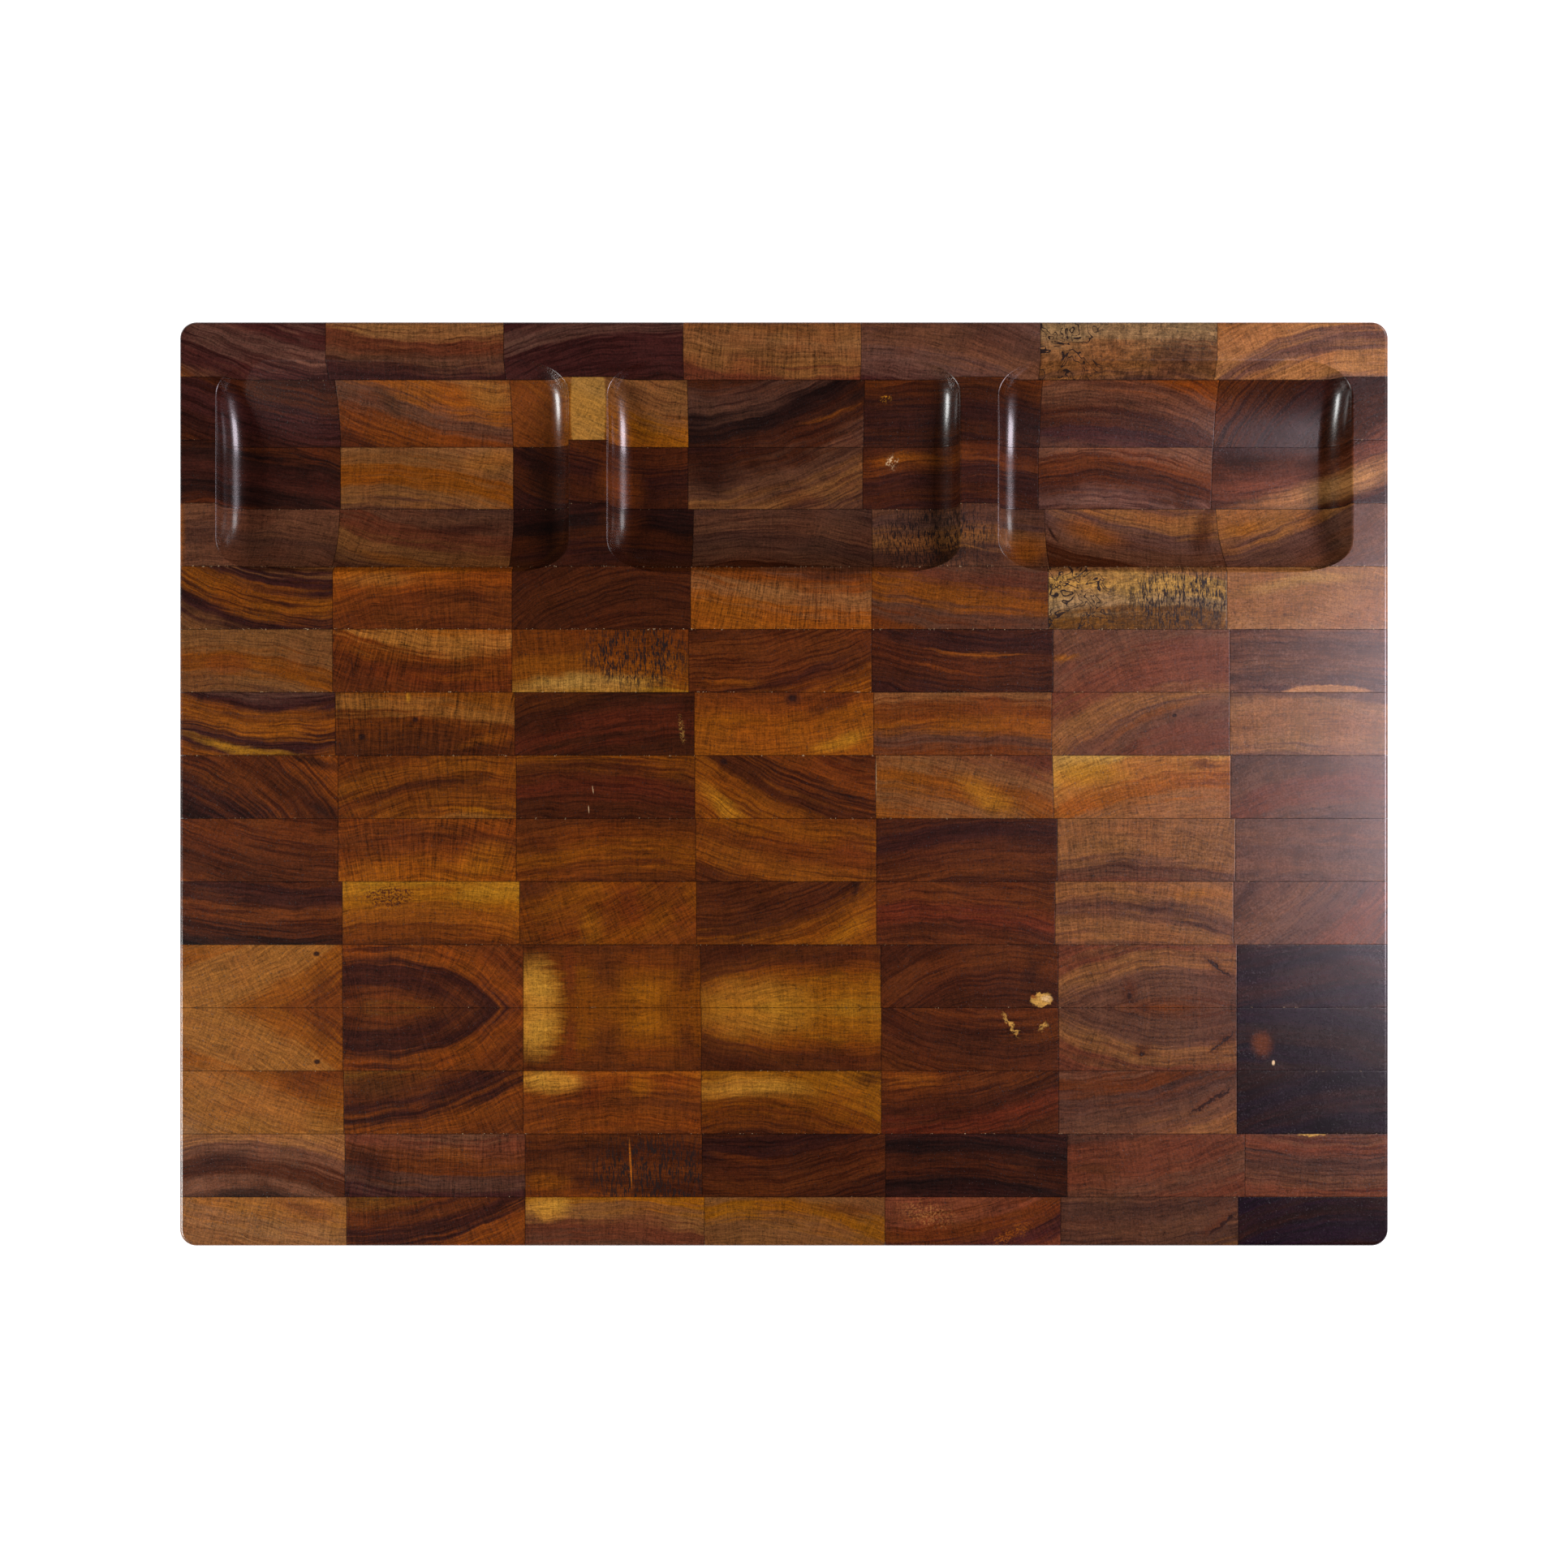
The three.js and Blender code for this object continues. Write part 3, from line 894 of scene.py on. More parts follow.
# Every block's look, bar by bar from the back edge, and from left to right.
BLOCKS = (
    (
        wood("ash grape ash grape taupe", lean=-18, bow=-140, lines=0.9, rays=0.1, light=1.45,
             marks=[zone("copper", -22, -9, 12, 2.5, -16, 0.5)]),
        wood("tan fawn rose taupe grape", lean=-2, bow=-220, lines=0.5, rays=0.35,
             marks=[zone("grape", -10, -9, 26, 3.0, 0, 0.5)]),
        wood("grape ash grape grape plum", lean=10, lines=0.7, rays=0.1, light=1.05),
        wood("taupe tan fawn tan rose", lean=-3, bow=-260, lines=0.3, rays=0.7, clouds=0.8, light=0.9,
             marks=[mark("umber", 9, 3, 0.35, 6, 0, 0.7)]),
        wood("ash mushroom taupe ash grape", lean=-12, bow=200, lines=0.4, rays=0.2, light=1.2),
        wood("sand sand fawn tan ash", bow=200, lines=0.3, rays=0.3, light=0.85, spalted=True,
             marks=[zone("mushroom", 20, -4, 16, 8, 0, 0.7)]),
        wood("tan fawn ash fawn ash", lean=14, bow=90, lines=0.3, rays=0.35, light=1.42),
    ),
    (
        wood("plum umber grape plum umber", lean=-14, bow=-200, lines=0.9, rays=0.15, light=1.2),
        wood("tan copper taupe chestnut cocoa", lean=-14, bow=-200, lines=0.5, rays=0.3, light=1.05,
             marks=[zone("apricot", 24, 7, 12, 6), zone("olive", -14, 5, 8, 4, 0, 0.5)]),
        # Painted shade and painted light, partly the block's own tone: the walnut band darkens the part
        # inside the left well, beside its shaded wall, and the straw band lightens the lit wall top
        # between the wells.
        wood("tan tan honey copper copper", lean=-24, bow=-160, light=0.85,
             marks=[mark("walnut", -24, 0, 13, 30, 0, 0.75, 1.0, 0.3),
                    mark("straw", -3.1, 0, 6.8, 30, 0, 0.45, 0.8, 0.15)]),
        wood("umber mushroom ink umber taupe", lean=16, bow=-120, lines=0.9, rays=0.15, light=0.95,
             marks=[zone("ink", 12, 6, 16, 3.0, 24, 0.7), zone("amber", 20, 0, 12, 1.2, 30, 0.5)]),
        wood("walnut umber plum umber plum", lean=-3, bow=200, rays=0.2, light=0.85,
             marks=[mark("gold", -24, 5, 3, 1.2, -5, 0.8, 9.0, 0.9)]),
        wood("chestnut taupe umber grape taupe", lean=-8, bow=110, rays=0.2, light=1.15,
             marks=[zone("plum", 4, -1, 22, 3.0, -12, 0.7)]),
        wood("walnut umber plum umber rose", lean=44, bow=60, lines=0.9, rays=0.2, light=0.9,
             marks=[zone("plum", -2, -2, 16, 3.0, 48, 0.7)]),
    ),
    (
        wood("umber ink plum ink umber", lean=-6, bow=200, rays=0.1, light=1.5),
        wood("fawn tan copper tan taupe", lean=-8, lines=0.35, rays=0.3, light=0.85,
             marks=[zone("apricot", 24, 6, 12, 5)]),
        wood("umber cocoa plum umber plum", lean=-10, bow=-120, rays=0.2, light=1.05,
             marks=[zone("chestnut", 8, -3, 9, 8), zone("ink", -24, 4, 9, 6, 20, 0.6)]),
        wood("plum umber taupe tan taupe", lean=16, bow=-150, lines=0.7, rays=0.15, light=0.8,
             marks=[zone("ink", -22, 0, 12, 8, 10, 0.6)]),
        wood("umber walnut plum umber plum", bow=200, rays=0.1, light=1.2,
             marks=[zone("amber", -18, 7, 16, 2.4, 0, 0.75),
                    mark("cream", -21.5, 6, 3.4, 2.0, 70, 0.9, 10, 0.7)]),
        wood("taupe walnut umber ash umber", lean=-6, bow=90, lines=0.8, rays=0.15, light=1.4,
             marks=[zone("umber", 4, 2, 24, 2.5, -8, 0.7)]),
        wood("plum umber rose umber plum", lean=12, bow=-160, lines=0.5, rays=0.15, light=1.15,
             marks=[zone("peach", 12, -4, 34, 5.5, 14, 0.95), zone("ink", -20, 6, 12, 4, 6, 0.5)]),
    ),
    (
        wood("taupe taupe mushroom taupe taupe", lean=-2, bow=200, lines=0.5, rays=0.2, light=1.15,
             marks=[mark("copper", -26, 0, 7, 30, 0, 0.7, 1.0, 0.5)]),
        wood("mushroom taupe rose tan taupe", lean=-9, bow=-200, lines=0.5, rays=0.3, light=0.9,
             marks=[zone("plum", 14, 4, 20, 3.4, -12), zone("copper", -8, -9, 20, 2, -6, 0.5)]),
        wood("plum ink umber plum umber", lean=2, bow=200, rays=0.1, light=0.85,
             marks=[zone("walnut", 8, 6, 9, 6, 0, 0.5)]),
        wood("mushroom taupe mushroom taupe umber", lean=-4, bow=120, lines=0.7, rays=0.15, light=0.8),
        wood("taupe ash tan mushroom taupe", bow=300, lines=0.4, rays=0.4, light=0.87, ticks=(-10, 0, 26),
             marks=[zone("copper", 24, -5, 9, 7)]),
        wood("taupe tan ash taupe umber", lean=-10, bow=-120, lines=0.4, rays=0.3, light=1.1,
             marks=[zone("copper", -14, 2, 14, 5, -10, 0.7), mark("ink", -29, 2, 6, 0.9, -60, 0.9, 2),
                    zone("umber", 26, 3, 6, 9, -50, 0.7)]),
        wood("tan tan ash taupe ash", lean=24, bow=-140, lines=0.3, rays=0.2, light=1.2,
             marks=[zone("honey", -22, 4, 10, 3, 20, 0.5)]),
    ),
    (
        wood("tan grape copper grape tan", lean=-16, bow=-90, lines=0.8, rays=0.15, light=0.85),
        wood("copper chestnut walnut walnut cocoa", lean=6, lines=0.5, rays=0.5, light=1.3,
             marks=[zone("apricot", -16, 7, 18, 3, 0, 0.6), zone("umber", 16, 0, 16, 2.5, -8, 0.6)]),
        wood("umber cocoa umber cocoa umber", lean=16, bow=70, lines=0.8, rays=0.1, light=0.9),
        wood("taupe chestnut tan copper copper", lean=-7, bow=-200, lines=0.35, rays=0.9,
             marks=[zone("umber", 18, 8, 14, 3.0, -8), mark("umber", 12.5, -2, 0.35, 8)]),
        wood("taupe rose copper taupe chestnut", lean=-8, bow=-260, lines=0.35, light=0.8),
        wood("fawn straw sand moss moss", bow=200, lines=0.2, rays=0.6, clouds=0.3, spalted=True,
             light=0.92, ticks=(16, -1, 24), marks=[zone("straw", 0, 3, 10, 7, 0, 0.5)]),
        wood("fawn tan tan tan fawn", lean=-4, bow=200, lines=0.3, rays=0.3, light=1.15,
             marks=[zone("straw", -6, 6, 22, 3, 8, 0.5)]),
    ),
    (
        wood("tan tan copper tan taupe", lean=-5, bow=110, lines=0.5, light=0.82,
             marks=[mark("russet", -6, -1, 11, 4.5, 0, 0.45, 2.0, 0.5)]),
        wood("copper apricot chestnut russet walnut", lean=-8, bow=-150, lines=0.4, rays=0.9,
             marks=[zone("umber", 4, -3, 24, 2.4, -10, 0.6), zone("cocoa", -23, -5, 9, 6, 0, 0.6),
                    mark("ink", -25, -2, 0.5, 5, 4, 0.7)]),
        wood("chestnut chestnut copper amber gold", bow=300, lines=0.2, rays=0.7, light=0.8,
             ticks=(13, 2, 23), marks=[zone("straw", -6, -8, 30, 4.5, 2, 0.8, 4)]),
        wood("umber walnut walnut cocoa amber", lean=12, bow=-180, lines=0.9, rays=0.15, light=1.1,
             marks=[zone("plum", 6, -5, 24, 1.2, 9, 0.7), zone("amber", -18, -8, 12, 2, 6, 0.7)]),
        wood("umber plum cocoa umber plum", lean=-6, bow=-200, lines=0.8, rays=0.1, light=1.05,
             marks=[zone("copper", 6, 2, 20, 1.0, -6), zone("chestnut", -6, -3, 14, 1.0, -6)]),
        wood("taupe taupe rose rose tan", lean=16, bow=90, lines=0.5, rays=0.35, light=1.15,
             marks=[zone("honey", -28, 1, 5, 1.5, 6, 0.7)]),
        wood("taupe mushroom taupe mushroom taupe", lean=-2, bow=300, lines=0.7, rays=0.15, light=1.2,
             marks=[mark("plum", -16, -9.6, 18, 1.2, -3, 0.85, 3, 0.6),
                    mark("fawn", 3, -12.0, 18, 3.8, 0, 0.9, 2.0, 0.2),
                    mark("plum", 6, -6, 7, 2.2, 0, 0.6, 4)]),
    ),
    (
        wood("ash grape copper grape copper", lean=-7, bow=-120, lines=0.8, rays=0.15, light=0.98,
             marks=[zone("gold", 2, -10, 28, 1.8, 1), zone("copper", 14, 3, 16, 2, -12, 0.5)]),
        wood("copper apricot chestnut walnut cocoa", lean=-4, bow=200, lines=0.35, rays=1.0, light=0.75,
             marks=[knot(-22.5, -4.5, 1.8), knot(-3.5, 1.5, 1.5),
                    mark("gold", -6, 9.5, 1.2, 2.6, 0, 0.7, 1.0, 0.9),
                    zone("copper", 22, -6, 12, 2, 8, 0.5)]),
        wood("walnut umber mahogany umber cocoa", lean=9, rays=0.2, light=0.75,
             marks=[mark("straw", 27.5, -2, 1.4, 7, 8, 0.5, 9, 0.9)]),
        wood("walnut chestnut amber copper amber", lean=4, bow=-160, lines=0.4, rays=0.5, light=1.05,
             marks=[mark("umber", 3, 9, 3.8, 3.4, 0, 0.85, 2.0, 0.5), knot(3, 9.2, 2.2),
                    zone("cocoa", 18, 7, 14, 3.0, -4, 0.7), zone("gold", 20, -7, 12, 3.4, 4)]),
        wood("tan chestnut copper taupe chestnut", bow=400, lines=0.5, light=0.9),
        wood("rose tan taupe rose taupe", lean=22, bow=90, lines=0.35, light=1.05,
             marks=[knot(12, 3, 1.2), zone("copper", 4, 3, 24, 1.5, 24, 0.5)]),
        wood("taupe fawn tan fawn taupe", lean=-2, bow=300, lines=0.3, light=0.95,
             marks=[zone("fawn", -4, 0, 22, 1.2, 2, 0.5)]),
    ),
    (
        wood("chestnut umber walnut plum ink", lean=-36, bow=90, lines=0.8, rays=0.35, light=1.15,
             marks=[zone("ink", 24, 9, 9, 2.5, -10), zone("ink", 26, -8, 6, 2, -30, 0.7)]),
        wood("chestnut copper chestnut copper apricot", lean=8, bow=100, lines=0.7, rays=0.7, light=0.72,
             marks=[zone("umber", -2, 1, 30, 1.5, 10, 0.9), zone("honey", 18, -8, 14, 1.6, -8, 0.7)]),
        wood("amber walnut mahogany cocoa cocoa", lean=-3, bow=200, lines=0.7, rays=0.15, light=0.8,
             marks=[mark("cream", -4.5, -1, 0.2, 1.8, 8, 0.7, 0.5, 0.6),
                    mark("cream", -6, -8, 0.2, 1.8, 4, 0.7, 0.5, 0.6)]),
        wood("walnut chestnut cocoa amber copper", lean=-24, bow=-140, lines=0.9, rays=0.15, light=0.85,
             marks=[zone("gold", -22, -7, 12, 4.0, -20, 0.7), knot(-22, 9, 1.8),
                    zone("ink", 18, -2, 16, 0.9, -16, 0.6)]),
        wood("rose tan copper tan copper", lean=-14, bow=200, lines=0.4, rays=0.35, light=0.85,
             marks=[mark("cream", -31.6, 3, 0.3, 8, 0, 0.7, 0.6, 0.5),
                    zone("gold", 8, -3, 12, 6, -30, 0.6)]),
        wood("straw apricot copper tan tan", lean=12, bow=110, lines=0.35, rays=0.3, light=1.1,
             marks=[zone("gold", -20, 5, 15, 6, 4, 0.9), mark("umber", 22, 8, 7, 2.0, 0, 0.7, 6),
                    mark("umber", 24, 2, 5, 1.2, 0, 0.5, 6)]),
        wood("mushroom taupe rose taupe mushroom", lean=8, bow=90, lines=0.4, rays=0.2),
    ),
    (
        wood("umber walnut cocoa umber walnut", lean=-14, bow=-160, lines=0.8, rays=0.15, light=1.3,
             marks=[zone("copper", -26, -9, 6, 2.5, 0, 0.4)]),
        wood("chestnut walnut chestnut amber amber", lean=-2, bow=120, rays=0.9, light=1.1,
             marks=[zone("honey", 22, -3, 11, 8, 0, 0.6), zone("walnut", -20, -2, 14, 4, 12, 0.5)]),
        wood("walnut chestnut amber chestnut walnut", lean=2, rays=0.2, light=0.85,
             marks=[zone("cocoa", -24, 2, 9, 6, 0, 0.5)]),
        wood("chestnut amber chestnut copper walnut", lean=-10, bow=-200, rays=0.3, light=0.8,
             marks=[zone("russet", 24, 1, 9, 5, 0, 0.6), zone("umber", -26, -9, 7, 2.5, 0, 0.7)]),
        wood("umber plum cocoa walnut umber", lean=5, lines=0.7, rays=0.1, light=1.05,
             marks=[zone("walnut", -14, -7, 18, 2, 4, 0.6)]),
        wood("tan tan tan taupe rose", lean=-2, lines=0.35, rays=0.6, light=0.95,
             marks=[zone("umber", 4, -6, 26, 1.1, -2, 0.7), mark("umber", 9, -7, 1.2, 3.5, 0, 0.6)]),
        wood("mushroom taupe mushroom taupe mushroom", lean=-2, bow=300, lines=0.35, rays=0.2, light=1.2,
             marks=[zone("mushroom", 6, -2, 16, 2, 0, 0.6)]),
    ),
    (
        wood("umber plum walnut umber ink", lean=-5, bow=-200, lines=1.0, rays=0.1, light=1.35),
        wood("gold honey copper chestnut walnut", lean=-2, lines=0.35, rays=0.35, light=0.95,
             marks=[mark("umber", -15, 6.0, 11, 4.5, 0, 1.0, 9, 0.4), zone("gold", 20, 7, 12, 4)]),
        wood("walnut amber chestnut amber chestnut", lean=24, bow=-200, lines=0.3, rays=0.4, clouds=1.0,
             light=0.9,
             marks=[zone("honey", -6, -5, 5, 7, 10, 0.5), zone("russet", 8, 4, 5, 8, 0, 0.6),
                    zone("russet", 26, 2, 5, 8, 20, 0.5)]),
        wood("cocoa walnut cocoa amber amber", lean=18, bow=-120, lines=0.8, rays=0.2, light=0.88,
             marks=[zone("umber", -16, 4, 16, 3, 25, 0.7), zone("honey", 22, -7, 11, 3.4, 16, 0.7),
                    zone("ink", 25, 10, 5, 1.6, -10, 0.7), mark("umber", -22, -6, 0.6, 3, 20)]),
        wood("walnut walnut mahogany cocoa walnut", lean=-4, lines=0.7, rays=0.15, light=1.1),
        wood("tan tan taupe tan taupe", lean=-5, lines=0.4, rays=0.55,
             marks=[zone("plum", 4, 2, 14, 1.0, -6, 0.7), zone("plum", 22, -5, 12, 1.0, -18, 0.7),
                    zone("honey", 20, 7, 12, 2.5, 0, 0.6)]),
        wood("mushroom taupe mushroom rose mushroom", lean=42, bow=-200, lines=0.5, rays=0.2, light=1.25,
             marks=[zone("plum", -26, 9, 12, 2.5, 20, 0.6)]),
    ),
    ELEVENTH_BAR,
    (
        mirrored(ELEVENTH_BAR[0]),
        eye_block(mirror=True, light=1.1),
        mirrored(ELEVENTH_BAR[2]),
        mirrored(ELEVENTH_BAR[3]),
        wood("walnut walnut umber cocoa walnut", lean=-8, bow=-90, lines=0.7, rays=0.15,
             marks=[mark("straw", 14.4, 5.2, 6.8, 0.9, -57, 0.9, 6.9, 0.6),
                    mark("straw", 26.0, 4.4, 2.6, 0.9, 40, 0.85, 7.0, 0.6)]),
        wood("rose tan taupe taupe chestnut", lean=8, bow=90, rays=0.35, mirror=True, light=0.85,
             marks=[mark("umber", -2, 4, 6.0, 4, 0, 0.75, 6.0, 0.9),
                    mark("ink", -2, 5.2, 1.4, 1.2, 0, 0.9, 2.0, 0.6),
                    mark("umber", 26.6, 1, 9, 2.2, -40, 0.6, 4.0),
                    mark("ink", 26.6, 1, 7.2, 0.6, -39, 0.95, 4.0, 0.4)]),
        wood("grape coal plum coal plum", lean=-8, lines=0.9, rays=0.1, light=0.6,
             marks=[mark("walnut", -22.8, -1.7, 5.2, 6.4, 10, 0.75, 3.0),
                    mark("cream", -18.7, -8.4, 0.7, 1.1, 0, 0.9, 0.5, 0.5),
                    mark("ink", -17, -10.2, 9, 0.9, 4, 0.9)]),
    ),
    (
        wood("chestnut copper apricot apricot fawn", lean=-22, bow=-200, lines=0.35, rays=0.4, light=0.95,
             marks=[zone("walnut", 18, 6, 14, 5, -10, 0.6)]),
        eye_block(mirror=True, lean=-16, bow=150, light=1.1,
                  marks=[zone("olive", -20, -6, 14, 5, 0, 0.5)]),
        wood("copper chestnut walnut chestnut walnut", lean=2, bow=200, lines=0.4, rays=0.35, light=1.15,
             marks=[zone("sun", -22, 7, 15, 5, 0, 0.9, 4), zone("russet", -8, 4, 5, 8, 0, 0.7),
                    zone("honey", 10, 6, 5, 5, 0, 0.5)]),
        wood("honey honey amber chestnut cocoa", lean=-9, bow=110, lines=0.45, rays=0.3, light=0.7,
             marks=[zone("sun", -16, 6, 24, 4.5, 0, 0.6), zone("umber", 28, 9, 5, 3, 0, 0.6)]),
        wood("chestnut walnut umber mahogany cocoa", lean=12, bow=-160, lines=0.7, rays=0.2, light=0.95,
             marks=[zone("copper", -20, 7, 14, 3, 8, 0.6)]),
        wood("taupe walnut mushroom taupe tan", lean=12, bow=-160, lines=0.5, rays=0.2, light=1.1,
             marks=[mark("umber", 22, 0.5, 13, 2.6, 32, 0.6, 4.0),
                    mark("ink", 22.5, 0.5, 10.9, 0.9, 32, 0.95, 4.5, 0.4)]),
        wood("plum coal grape coal plum", lean=8, bow=120, lines=0.9, rays=0.1, light=0.52),
    ),
    (
        wood("tan taupe umber taupe ink", lean=-4, bow=80, lines=0.35, light=1.4,
             marks=[zone("plum", -12, 2, 16, 4, 10, 0.7), zone("ink", 0, -10, 30, 2.6, -2, 0.6)]),
        wood("taupe rose walnut mushroom grape", lean=-3, bow=-200, lines=0.5, rays=0.6, light=1.15,
             marks=[zone("plum", -24, 0, 11, 8, 0, 0.7), zone("copper", 6, 4, 10, 4, 0, 0.4),
                    mark("ink", -13, 0, 0.25, 5, 4, 0.7, 0.6, 0.4)]),
        wood("walnut umber walnut umber chestnut", lean=-2, bow=300, lines=0.4, rays=0.5, light=1.05,
             ticks=(14, -3, 28),
             marks=[mark("copper", 6, 1, 0.5, 11, 3, 0.9, 0.8, 0.6), zone("amber", -24, -6, 10, 4.5)]),
        wood("umber plum cocoa walnut umber", lean=8, bow=-160, lines=0.9, rays=0.1, light=0.85,
             marks=[zone("chestnut", -16, 2, 16, 1.4, 10, 0.5)]),
        wood("plum ink umber ink plum", lean=-3, bow=200, lines=0.8, rays=0.1, light=0.95,
             marks=[zone("walnut", 6, 1, 22, 1.0, -6, 0.6)]),
        wood("mushroom rose rose taupe rose", lean=12, bow=-200, lines=0.45, rays=0.35, light=0.95,
             marks=[zone("olive", -22, -2, 12, 3, 14, 0.5)]),
        wood("taupe rose mushroom taupe rose", bow=-160, lines=0.8, rays=0.15,
             marks=[mark("straw", -8, 11.4, 6.0, 1.1, 0, 1.0, 3.0, 0.4)]),
    ),
    (
        wood("tan apricot fawn tan fawn", lean=-12, bow=-260, lines=0.35, rays=0.4, light=1.05,
             marks=[zone("rose", 18, 6, 12, 3.5, 0, 0.6)]),
        eye_block(mirror=True, lean=-14, bow=120, light=1.2),
        wood("honey tan rose taupe rose", lean=-2, bow=260, lines=0.3, rays=0.3, light=0.9,
             marks=[zone("sun", -24, 8, 9, 5, 0, 0.9, 4), zone("rose", 8, 2, 14, 5, 0, 0.5)]),
        wood("tan honey tan tan rose", lean=-8, bow=90, lines=0.35, rays=0.3, light=0.75,
             marks=[zone("walnut", 20, 7, 12, 2.5, -6, 0.6)]),
        wood("rose rose walnut grape rose", lean=12, bow=-120, lines=0.5, rays=0.3, clouds=1.0, light=1.2,
             marks=[mark("tan", -16, 5, 15, 5.5, -10, 0.85, 13, 0.9),
                    mark("copper", 14, -2, 12, 3.0, 30, 0.6, 10, 0.9)]),
        wood("taupe mushroom taupe mushroom tan", lean=6, bow=-160, lines=0.5, rays=0.2, light=0.85,
             marks=[mark("umber", 24, 1.5, 10, 2.4, 36, 0.6, 4.0),
                    mark("ink", 26, 1.7, 7.4, 0.8, 39, 0.95, 4.0, 0.4)]),
        wood("coal plum coal plum coal", lean=8, bow=90, lines=0.9, rays=0.1, light=0.62),
    ),
)


# ---------------------------------------------------------------- sawing the board into blocks


def joint_at(bar, joint, y):
    """X of a joint between two blocks where it crosses y. Joints 0 and 7 are the board's ends."""
    if joint == 0:
        return -BOARD_LENGTH / 2
    if joint == BLOCKS_PER_BAR:
        return BOARD_LENGTH / 2
    middle = (bar_joint(bar) + bar_joint(bar + 1)) / 2
    slant = JOINT_SLANTS.get((bar + 1, joint), 0.0)
    return BLOCK_JOINTS[bar][joint - 1] + slant * (middle - y) / BAR_PITCH


def block_prism(bar, place):
    """The space of one block: upright, up to half a glue line from its neighbours."""
    back = bar_joint(bar) + (PAST_EDGE if bar == 0 else -HALF_GLUE_LINE)
    front = bar_joint(bar + 1) + (-PAST_EDGE if bar == BAR_COUNT - 1 else HALF_GLUE_LINE)
    left_gap = -PAST_EDGE if place == 0 else HALF_GLUE_LINE
    right_gap = PAST_EDGE if place == BLOCKS_PER_BAR - 1 else -HALF_GLUE_LINE
    outline = [
        (joint_at(bar, place, front) + left_gap, front),
        (joint_at(bar, place + 1, front) + right_gap, front),
        (joint_at(bar, place + 1, back) + right_gap, back),
        (joint_at(bar, place, back) + left_gap, back),
    ]
    heights = (BOARD_BOTTOM - PAST_EDGE, BOARD_TOP + PAST_EDGE)
    return loft("block_prism", [[(x, y, z) for x, y in outline] for z in heights])


def block_placing(block, bar, place):
    """Where the block and its joints lie, for the material. Border blocks count as full size."""
    back = bar_joint(bar) if bar else bar_joint(1) + BAR_PITCH
    front = bar_joint(bar + 1) if bar < BAR_COUNT - 1 else back - BAR_PITCH
    middle_y = (back + front) / 2
    last = BLOCKS_PER_BAR - 1
    left = BLOCK_JOINTS[bar][place - 1] if place else BLOCK_JOINTS[bar][0] - BLOCK_LENGTH
    right = BLOCK_JOINTS[bar][place] if place < last else BLOCK_JOINTS[bar][-1] + BLOCK_LENGTH
    slants = [JOINT_SLANTS.get((bar + 1, joint), 0.0) / -BAR_PITCH for joint in (place, place + 1)]
    block["bar_joints"] = [
        back if bar else NO_JOINT,
        front if bar < BAR_COUNT - 1 else -NO_JOINT,
        FILLER[bar],
    ]
    block["left_joint"] = [left if place else -NO_JOINT, slants[0], 0.0]
    block["right_joint"] = [right if place < last else NO_JOINT, slants[1], middle_y]
    return (left + right) / 2, middle_y


def describe(block, bar, place, look):
    """Gives the block's own numbers to its material."""
    centre_x, centre_y = block_placing(block, bar, place)
    block["place"] = [centre_x, centre_y, -1.0 if look["mirror"] else 1.0]
    # A block that is turned over has the pattern of the one behind it.
    pattern_bar = bar - 1 if look["mirror"] else bar
    seed = 17.0 * pattern_bar + 5.3 * place
    lean = math.radians(look["lean"])
    half_span = BAR_PITCH / 2 * math.cos(lean) + LEAN_REACH * abs(math.sin(lean))
    block["pattern"] = [seed, 0.5 / half_span, 0.0]
    block["figure"] = [look["lines"], look["rays"], look["clouds"]]
    radius = float(look["bow"])
    block["pith"] = [radius * math.sin(lean), -radius * math.cos(lean), radius]
    names = look["tones"]
    for step in range(TONE_COUNT):
        block[f"tone_{step + 1}"] = [look["light"] * channel for channel in linear_tone(names[step])]
    if look["ticks"]:
        block["ticks"] = [float(value) for value in look["ticks"]]
    for number, flaw in enumerate(look["marks"], 1):
        describe_patch(block, f"mark_{number}", flaw, flaw[1:3], flaw[5])
    for number, patch in enumerate(look["zones"], 1):
        spot, slope = ring_place(patch[1], patch[2], lean, radius)
        describe_patch(block, f"zone_{number}", patch, spot, patch[5] - math.degrees(slope))


def ring_place(x, y, lean, radius):
    """The same spot as (distance along its ring, distance across the rings), and the ring's slope."""
    side = math.copysign(1.0, radius)
    from_pith_x = x - radius * math.sin(lean)
    from_pith_y = y + radius * math.cos(lean)
    ring = math.hypot(from_pith_x, from_pith_y) * side - radius
    angle = math.atan2(from_pith_x * side, from_pith_y * side)
    return (angle * abs(radius), ring), -angle


def describe_patch(block, name, patch, spot, turn):
    """Gives one mark or zone to the block's material."""
    tone, _, _, length, width, _, weight, ragged, soft = patch
    block[f"{name}_place"] = [float(spot[0]), float(spot[1]), math.radians(turn)]
    block[f"{name}_size"] = [float(length), float(width), float(ragged)]
    block[f"{name}_edge"] = [float(weight), float(soft), 0.0]
    block[f"{name}_tone"] = linear_tone(tone)


def cad_node_of(bar, place):
    if bar < WELL_BARS:
        return f"end_grain_block_{bar + 1:02d}_{place + 1}"
    return f"end_grain_bar_{bar + 1:02d}"


def saw_blocks(board):
    materials = {}
    for bar in range(BAR_COUNT):
        for place in range(BLOCKS_PER_BAR):
            block = board.copy()
            block.data = board.data.copy()
            block.name = f"block_{bar + 1:02d}_{place + 1}"
            block.data.name = block.name
            bpy.context.scene.collection.objects.link(block)
            prism = block_prism(bar, place)
            combined(block, prism, "INTERSECT")
            discard(prism)
            finish_surface(block)
            look = BLOCKS[bar][place]
            describe(block, bar, place, look)
            kind = (len(look["zones"]), len(look["marks"]), look["spalted"], bool(look["ticks"]))
            if kind not in materials:
                materials[kind] = wood_material(*kind)
            block.data.materials.clear()
            block.data.materials.append(materials[kind])
            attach(block, "root")
            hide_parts(cad_node_of(bar, place))


# ---------------------------------------------------------------- feet, washers and screws


